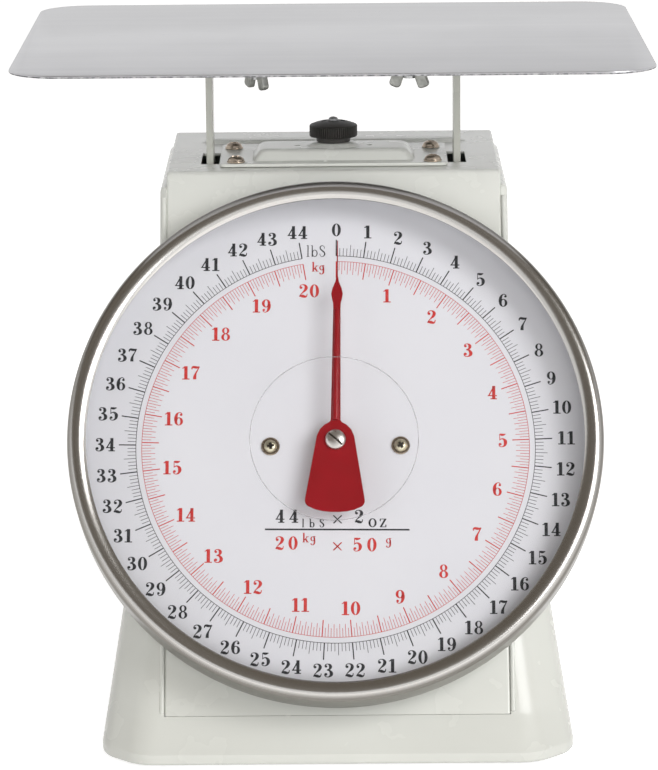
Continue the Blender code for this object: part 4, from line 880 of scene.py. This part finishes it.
def make_pointer():
    """A pressed blade with a half round stiffening rib, a diamond near its tip and a broad tail."""
    side = [(0.00018, 0.0850), (0.0003, 0.0700), (0.0007, 0.0674), (0.0019, 0.0645), (0.0024, 0.0622),
            (0.0021, 0.0602), (0.0016, 0.0582), (0.0015, 0.0556), (0.0020, 0.0083), (0.0026, 0.0075),
            (0.0046, 0.0064), (0.0064, 0.0045), (0.0076, 0.0018), (0.0121, -0.0245)]
    side += arc(0.0094, -0.0254, 0.0028, -2, -68, 5)
    side += [(0.0080, -0.0291), (0.0050, -0.0298), (0.0020, -0.03013)]
    line = side + [(-x, y) for x, y in reversed(side)]
    rounding = 0.00010
    curve = bpy.data.curves.new("pointer_blade", 'CURVE')
    curve.dimensions = '2D'
    curve.fill_mode = 'BOTH'
    curve.extrude = 0.00020
    curve.bevel_depth = rounding
    curve.bevel_resolution = 2
    curve.offset = -rounding
    spline = curve.splines.new('POLY')
    spline.points.add(len(line) - 1)
    for point, (x, y) in zip(spline.points, line):
        point.co = (x, y, 0, 1)
    spline.use_cyclic_u = True
    only(into_scene("pointer_blade", curve))
    bpy.ops.object.convert(target='MESH')
    blade = place(bpy.context.object, (0, 0, 0.0101))
    rib_height = 0.0104
    rib = add("rib", "cone", vertices=32, radius1=0.0015, radius2=0.00115, depth=0.0472)
    place(rib, (0, 0.0318, rib_height), (-pi / 2, 0, 0))
    draw_in(rib, 'VERT', lambda p: True, (1, 1, 1.1), (0, 0, rib_height))
    soften(rib, 0.0004, 3, 60)
    pointer = place(join("red_pointer", blade, rib), turn=(0, 0, -dial_turn))
    hand_over(on_dial(pointer), "pointer", "pointer_red", ["pointer"], 40)


def make_pointer_cap():
    """The slotted screw that holds the pointer."""
    radius = 0.0042
    height = 0.0022
    turn = radians(-42)
    profile = [(0, -0.0002), (radius * 0.9, -0.0002), (radius, 0.0001), (radius, height * 0.35)]
    profile += [(radius * cos(radians(a)), height * (0.35 + 0.65 * sin(radians(a)))) for a in (25, 45, 65, 80)]
    head = spun("pointer_cap", profile + [(0, height)], 56)
    slot = add("slot", "cube", size=1, location=(0, 0, height))
    place(slot, size=(radius * 2.2, 0.00085, height * 0.9))
    carve(head, place(slot, turn=(0, 0, turn)))
    soften(head, 0.00008, 2, 50)
    # The slot's floor is a dark sheet: painted shade.
    head = two_tone(head, "bright_nickel", recess_floor(radius * 1.72, 0.0008, height * 0.64, turn))
    place(head, (0, 0, 0.0107))
    hand_over(on_dial(head), "pointer", "nickel_plate", ["pointer_screw"])


def make_dial_screws():
    head = cross_screw("dial_head", 0.0030, 0.0020, "pale_nickel", 0.66, 0.22)
    flange = spun("flange", [(0, -0.0002), (0.0036, -0.0002), (0.0038, 0), (0.0038, 0.0003), (0.0035, 0.0006),
                             (0, 0.0006)], 40)
    flange.data.materials.append(finishes["nickel_plate"])
    head = join("dial_head", head, flange)
    for (side, name), turn in zip(sides, (8, 30)):
        screw = again(head, "dial_cross_screw_" + name)
        place(screw, (side * 0.0267, 0, 0.0003), (0, 0, radians(turn)))
        hand_over(on_dial(screw), "housing", "nickel_plate", ["dial_screw_" + name])
    discard(head)


make_bezel()
make_window()
make_window_ring()
make_pointer()
make_pointer_cap()
make_dial_screws()


# Print on the dial, in the dial's plane

print_height = 0.00006
digit_stretch = 1.12
pound = radians(350) / 44
kilogram = radians(350) / 20


def marks(name, start, end, width, first, step, count):
    """Equal marks round the dial, one bar turned about its middle."""
    bar = add(name, "plane", size=1, location=(0, (start + end) / 2, print_height))
    place(bar, size=(width, end - start, 1))
    place(bar, turn=(0, 0, -first))
    pivot = into_scene("pivot", None)
    pivot.rotation_euler = (0, 0, -step)
    bpy.context.view_layer.update()
    apply(bar, 'ARRAY', count=count, use_relative_offset=False, use_object_offset=True, offset_object=pivot)
    discard(pivot)
    return bar


def band(name, inner, outer, first, last, steps=180):
    """A thin printed arc from one angle to another, clockwise from the top."""
    line = add(name, "plane", size=1)
    place(line, (0, (inner + outer) / 2, print_height), size=(0.0001, outer - inner, 1))
    pick(line, 'VERT', lambda p: p.x > 0)
    bpy.ops.mesh.delete(type='VERT')
    done()
    place(line, (0.00005, 0, 0), (0, 0, -first))
    everything(line)
    bpy.ops.mesh.spin(steps=steps, angle=last - first, center=(0, 0, 0), axis=(0, 0, 1))
    done()
    return line


def ribbon(points, weight=1.25, smooth=6):
    """Quads along a brush stroke of (x, y, width), rounded through its points."""
    line = []
    for i in range(len(points) - 1):
        p = [Vector(points[min(max(i + k, 0), len(points) - 1)]) for k in (-1, 0, 1, 2)]
        for s in range(smooth):
            t = s / smooth
            line.append(0.5 * ((2 * p[1]) + (p[2] - p[0]) * t + (2 * p[0] - 5 * p[1] + 4 * p[2] - p[3]) * t * t
                               + (3 * p[1] - p[0] - 3 * p[2] + p[3]) * t * t * t))
    line.append(Vector(points[-1]))
    left, right = [], []
    for i, point in enumerate(line):
        ahead = line[min(i + 1, len(line) - 1)] - line[max(i - 1, 0)]
        across = Vector((-ahead.y, ahead.x)).normalized() * point.z * weight / 2
        left.append((point.x + across.x, point.y + across.y))
        right.append((point.x - across.x, point.y - across.y))
    return [[left[i], right[i], right[i + 1], left[i + 1]] for i in range(len(line) - 1)]


def oval(x, y, across, up, side, end, weight=1.20, steps=28):
    """A closed bowl, thick at its sides and thin at its ends."""
    side *= weight
    end *= weight
    outer = [(x + across * cos(2 * pi * i / steps), y + up * sin(2 * pi * i / steps)) for i in range(steps)]
    inner = [(x + (across - side) * cos(2 * pi * i / steps), y + (up - end) * sin(2 * pi * i / steps))
             for i in range(steps)]
    return [[outer[i], outer[(i + 1) % steps], inner[(i + 1) % steps], inner[i]] for i in range(steps)]


def dot(x, y, radius):
    return [arc(x, y, radius, 0, 337.5, 15)]


def slab(left, low, right, high):
    return [[(left, low), (right, low), (right, high), (left, high)]]


# Each letter's width and outlines, on a grid of 1000 to its height
em = 1000
letters = {
    "0": (620, oval(310, 500, 300, 500, 165, 45)),
    "1": (500, slab(175, 30, 385, 1000) + slab(40, 0, 520, 75) + ribbon([(200, 930, 100), (130, 870, 60),
          (40, 845, 45)])),
    "2": (600, dot(150, 745, 95) + ribbon([(65, 770, 50), (130, 920, 50), (280, 975, 50), (430, 900, 120),
          (485, 750, 165), (420, 560, 140), (270, 390, 70), (130, 220, 45), (60, 60, 50)]) + ribbon([(50, 60, 50),
          (140, 120, 130), (270, 100, 170), (420, 60, 130), (520, 120, 60), (550, 280, 40)])),
    "3": (600, dot(150, 800, 85) + dot(140, 220, 100) + ribbon([(70, 820, 40), (140, 940, 50), (270, 975, 50),
          (400, 900, 130), (440, 760, 160), (380, 610, 100), (200, 535, 45)]) + ribbon([(200, 535, 45),
          (380, 490, 100), (490, 330, 170), (480, 170, 160), (360, 50, 80), (240, 25, 50), (110, 70, 50),
          (50, 200, 40)])),
    "4": (600, slab(295, 30, 495, 1000) + slab(180, 0, 600, 75) + slab(10, 235, 600, 315) + [[(10, 235), (90, 235),
          (490, 1000), (380, 1000)]]),
    "5": (600, ribbon([(120, 985, 50), (220, 930, 130), (350, 920, 130), (500, 970, 50)]) + slab(100, 500, 145, 970)
          + dot(150, 220, 95) + ribbon([(120, 520, 40), (200, 600, 50), (340, 610, 90), (470, 480, 160),
          (490, 300, 170), (430, 120, 110), (280, 25, 50), (130, 60, 45), (65, 180, 40)])),
    "6": (620, oval(320, 305, 275, 305, 145, 45) + dot(470, 800, 85) + ribbon([(125, 340, 160), (130, 580, 165),
          (190, 820, 120), (310, 955, 50), (420, 965, 45), (530, 870, 40)])),
    "7": (580, ribbon([(60, 760, 50), (70, 870, 80), (150, 940, 130), (300, 910, 150), (440, 910, 120),
          (540, 975, 50)]) + ribbon([(540, 970, 50), (430, 720, 60), (310, 460, 90), (250, 240, 150),
          (240, 20, 170)])),
    "8": (620, oval(310, 755, 235, 245, 120, 45) + oval(310, 275, 285, 275, 145, 45)),
    "l": (300, slab(110, 20, 190, 1000) + slab(30, 0, 270, 45) + slab(40, 955, 150, 1000)),
    "b": (620, slab(80, 0, 160, 1000) + slab(10, 955, 120, 1000) + oval(330, 300, 240, 310, 90, 50, 1.0)),
    "s": (520, ribbon([(440, 720, 40), (400, 900, 40), (250, 970, 50), (100, 880, 80), (90, 700, 90), (240, 540, 100),
          (420, 380, 100), (450, 180, 90), (300, 30, 50), (120, 60, 40), (50, 270, 40)], 1.1)),
    "k": (620, slab(80, 20, 180, 1000) + slab(10, 0, 250, 45) + slab(10, 955, 130, 1000) + [[(160, 220), (200, 190),
          (520, 600), (450, 600)]] + [[(240, 340), (340, 420), (580, 0), (460, 0)]] + slab(380, 575, 620, 620)
          + slab(400, 0, 640, 45)),
    "g": (580, oval(260, 380, 210, 250, 80, 45, 1.0) + ribbon([(300, 580, 40), (420, 630, 50), (500, 600, 80)])
          + ribbon([(420, 500, 90), (440, 200, 90), (420, -100, 90), (280, -260, 50), (120, -220, 50), (80, -100, 70)],
          1.2)),
    "o": (600, oval(300, 310, 260, 310, 100, 45, 1.0)),
    "z": (520, slab(50, 550, 470, 600) + slab(50, 0, 470, 50) + [[(50, 30), (160, 30), (470, 570), (360, 570)]]
          + slab(50, 420, 90, 600) + slab(430, 0, 470, 180)),
    "x": (800, [[(100, 100), (160, 70), (700, 610), (660, 660)], [(100, 610), (140, 660), (700, 100), (660, 70)]]),
}
letters["9"] = (620, [[(620 - x, em - y) for x, y in face] for face in letters["6"][1]])


def lettering(name, words):
    """One flat piece of lettering from (text, x, y, height, letter pitch), each text centred on its spot."""
    points, faces = [], []
    for text, x, y, height, pitch in words:
        broad = digit_stretch if text[0].isdigit() else 1.0
        widths = [letters[letter][0] / em * broad + pitch for letter in text]
        cursor = -(sum(widths) - pitch) / 2
        for letter, width in zip(text, widths):
            for outline in letters[letter][1]:
                faces.append(tuple(range(len(points), len(points) + len(outline))))
                points += [(x + (cursor + u / em * broad) * height, y + (v / em - 0.5) * height, print_height)
                           for u, v in outline]
            cursor += width
    mesh = bpy.data.meshes.new(name)
    mesh.from_pydata(points, [], faces)
    piece = into_scene(name, mesh)
    face_out(piece)
    return piece


def heavy(words, spread=0.00010):
    """Each word printed twice, a hair apart, for a heavier face."""
    return [(text, x + shift, y, height, pitch) for text, x, y, height, pitch in words for shift in (-spread, spread)]


def numbers(first, last, step, radius, height, two_digit_shift):
    """A ring of numbers. Those with two digits stand further out where the ring is steep."""
    words = []
    for value in range(first, last + 1):
        angle = value * step
        reach = radius + (two_digit_shift if value > 9 else 0.0003) * abs(sin(angle))
        words.append((str(value), reach * sin(angle), reach * cos(angle), height, 0.12))
    return words


def printed(piece, ink_used, shift=0.0):
    piece.data.materials.append(ink_used)
    place(piece, (shift, -0.0004, 0), (0, 0, -print_turn))
    hand_over(on_dial(piece), "housing", "dial_white")


def scale(name, edge, outward, line, step, count, reaches):
    """Bars a step apart, finer ones of the given reaches between them, and a circle along their feet."""
    bold, fine, thin = line

    def bars(reach, width, first, number):
        return marks("bars", *sorted((edge, edge + outward * reach)), width, first, step, number)

    pieces = [bars(0.0070, bold, 0, count + 1)]
    for part, reach in enumerate(reaches, 1):
        pieces.append(bars(reach, fine, step * part / (len(reaches) + 1), count))
    pieces.append(band("circle", edge - thin / 2, edge + thin / 2, 0, step * count))
    return join(name, *pieces)


def make_print():
    eighths = [0.0034] * 3 + [0.0050] + [0.0034] * 3
    printed(scale("pound_scale", 0.0819, 1, (0.00048, 0.00022, 0.00024), pound, 44, eighths), black_ink)
    tenths = [0.0038, 0.0055] * 4 + [0.0038]
    printed(scale("kilogram_scale", 0.0795, -1, (0.00042, 0.00020, 0.00020), kilogram / 2, 40, tenths), red_ink)
    printed(lettering("pound_numbers", numbers(0, 44, pound, 0.0932, 0.0056, 0.0014)), black_ink)
    printed(lettering("kilogram_numbers", numbers(1, 20, kilogram, 0.0677, 0.0057, 0.0003)), red_ink, 0.0005)
    words = [("lbs", -0.0085, 0.0840, 0.0050, 0.08), ("44", -0.0198, -0.0292, 0.0055, 0.34),
             ("2", 0.0096, -0.0292, 0.0055, 0.1)]
    words += heavy([("lbs", -0.0091, -0.0320, 0.0036, 0.55), ("x", 0.0009, -0.0296, 0.0060, 0),
                    ("o", 0.0152, -0.0307, 0.0060, 0), ("z", 0.0195, -0.0307, 0.0060, 0)])
    printed(lettering("pound_words", words), black_ink)
    words = [("20", -0.0199, -0.0404, 0.0056, 0.30), ("50", 0.0120, -0.0410, 0.0057, 0.36)]
    words += heavy([("kg", -0.0074, 0.0772, 0.0042, 0.08), ("kg", -0.0106, -0.0381, 0.0040, 0.16),
                    ("x", 0.0009, -0.0409, 0.0060, 0), ("g", 0.0218, -0.0389, 0.0042, 0)])
    printed(lettering("kilogram_words", words), red_ink)
    rule = add("capacity_rule", "plane", size=1, location=(0.0008, -0.0347, print_height))
    place(rule, size=(0.0590, 0.00070, 1))
    printed(rule, black_ink)


make_print()


# Studio

def make_floor():
    floor = add("floor", "plane", size=30)
    paint = Finish("floor", (0.80, 0.80, 0.80), 0.6)
    paint.set("Emission Strength", 1.0)
    paths = paint.tree.nodes.new("ShaderNodeLightPath")
    camera, glossy, through = (Signal(paint, paths.outputs[name])
                               for name in ("Is Camera Ray", "Is Glossy Ray", "Is Transmission Ray"))
    paint.set("Emission Color", paint.blend(camera + glossy + through, (0, 0, 0), (0.76, 0.76, 0.76)))
    floor.data.materials.append(paint.material)


def lamp(name, spot, size, power, shows=False):
    """An area light that faces the scale's middle."""
    middle = Vector((0, 0, 0.12))
    light = bpy.data.lights.new(name, 'AREA')
    light.shape = 'RECTANGLE'
    light.size, light.size_y = size
    light.energy = power
    made = into_scene(name, light)
    made.location = spot
    made.visible_glossy = shows
    made.rotation_euler = (middle - Vector(spot)).to_track_quat('-Z', 'Y').to_euler()


def light_studio():
    """A world that is white where it is seen and weaker where it lights, and four lamps."""
    world = bpy.data.worlds.new("studio")
    world.use_nodes = True
    tree = world.node_tree
    tree.nodes.clear()
    paths, first, second, lit, seen, mix, out = (tree.nodes.new("ShaderNode" + kind) for kind in (
        "LightPath", "Math", "Math", "Background", "Background", "MixShader", "OutputWorld"))
    first.operation = second.operation = 'MAXIMUM'
    seen.inputs["Color"].default_value = (1, 1, 1, 1)
    lit.inputs["Color"].default_value = (0.98, 0.99, 1.0, 1)
    lit.inputs["Strength"].default_value = 0.38
    for source, target in ((paths.outputs["Is Camera Ray"], first.inputs[0]),
                           (paths.outputs["Is Glossy Ray"], first.inputs[1]),
                           (first.outputs[0], second.inputs[0]),
                           (paths.outputs["Is Transmission Ray"], second.inputs[1]),
                           (second.outputs[0], mix.inputs[0]), (lit.outputs[0], mix.inputs[1]),
                           (seen.outputs[0], mix.inputs[2]), (mix.outputs[0], out.inputs[0])):
        tree.links.new(source, target)
    bpy.context.scene.world = world
    lamp("key", (1.6, -1.9, 1.45), (1.3, 1.3), 39, True)
    lamp("fill", (-2.0, -1.4, 0.9), (1.4, 1.4), 9)
    lamp("front", (0.3, -2.9, 0.50), (1.6, 0.8), 25)
    lamp("overhead", (0, 0.5, 2.4), (1.6, 1.6), 5)


def make_ceiling():
    """A dark studio ceiling, which the polished rim shows."""
    ceiling = add("ceiling", "plane", size=15, location=(0, -3.0, 4.2))
    paint = Finish("ceiling", (0.075, 0.062, 0.05), 0.8, Emission_Strength=1.0)
    paint.set("Emission Color", (0.13, 0.115, 0.095, 1))
    ceiling.data.materials.append(paint.material)


make_floor()
make_ceiling()
light_studio()
bpy.context.scene.view_settings.view_transform = 'Standard'
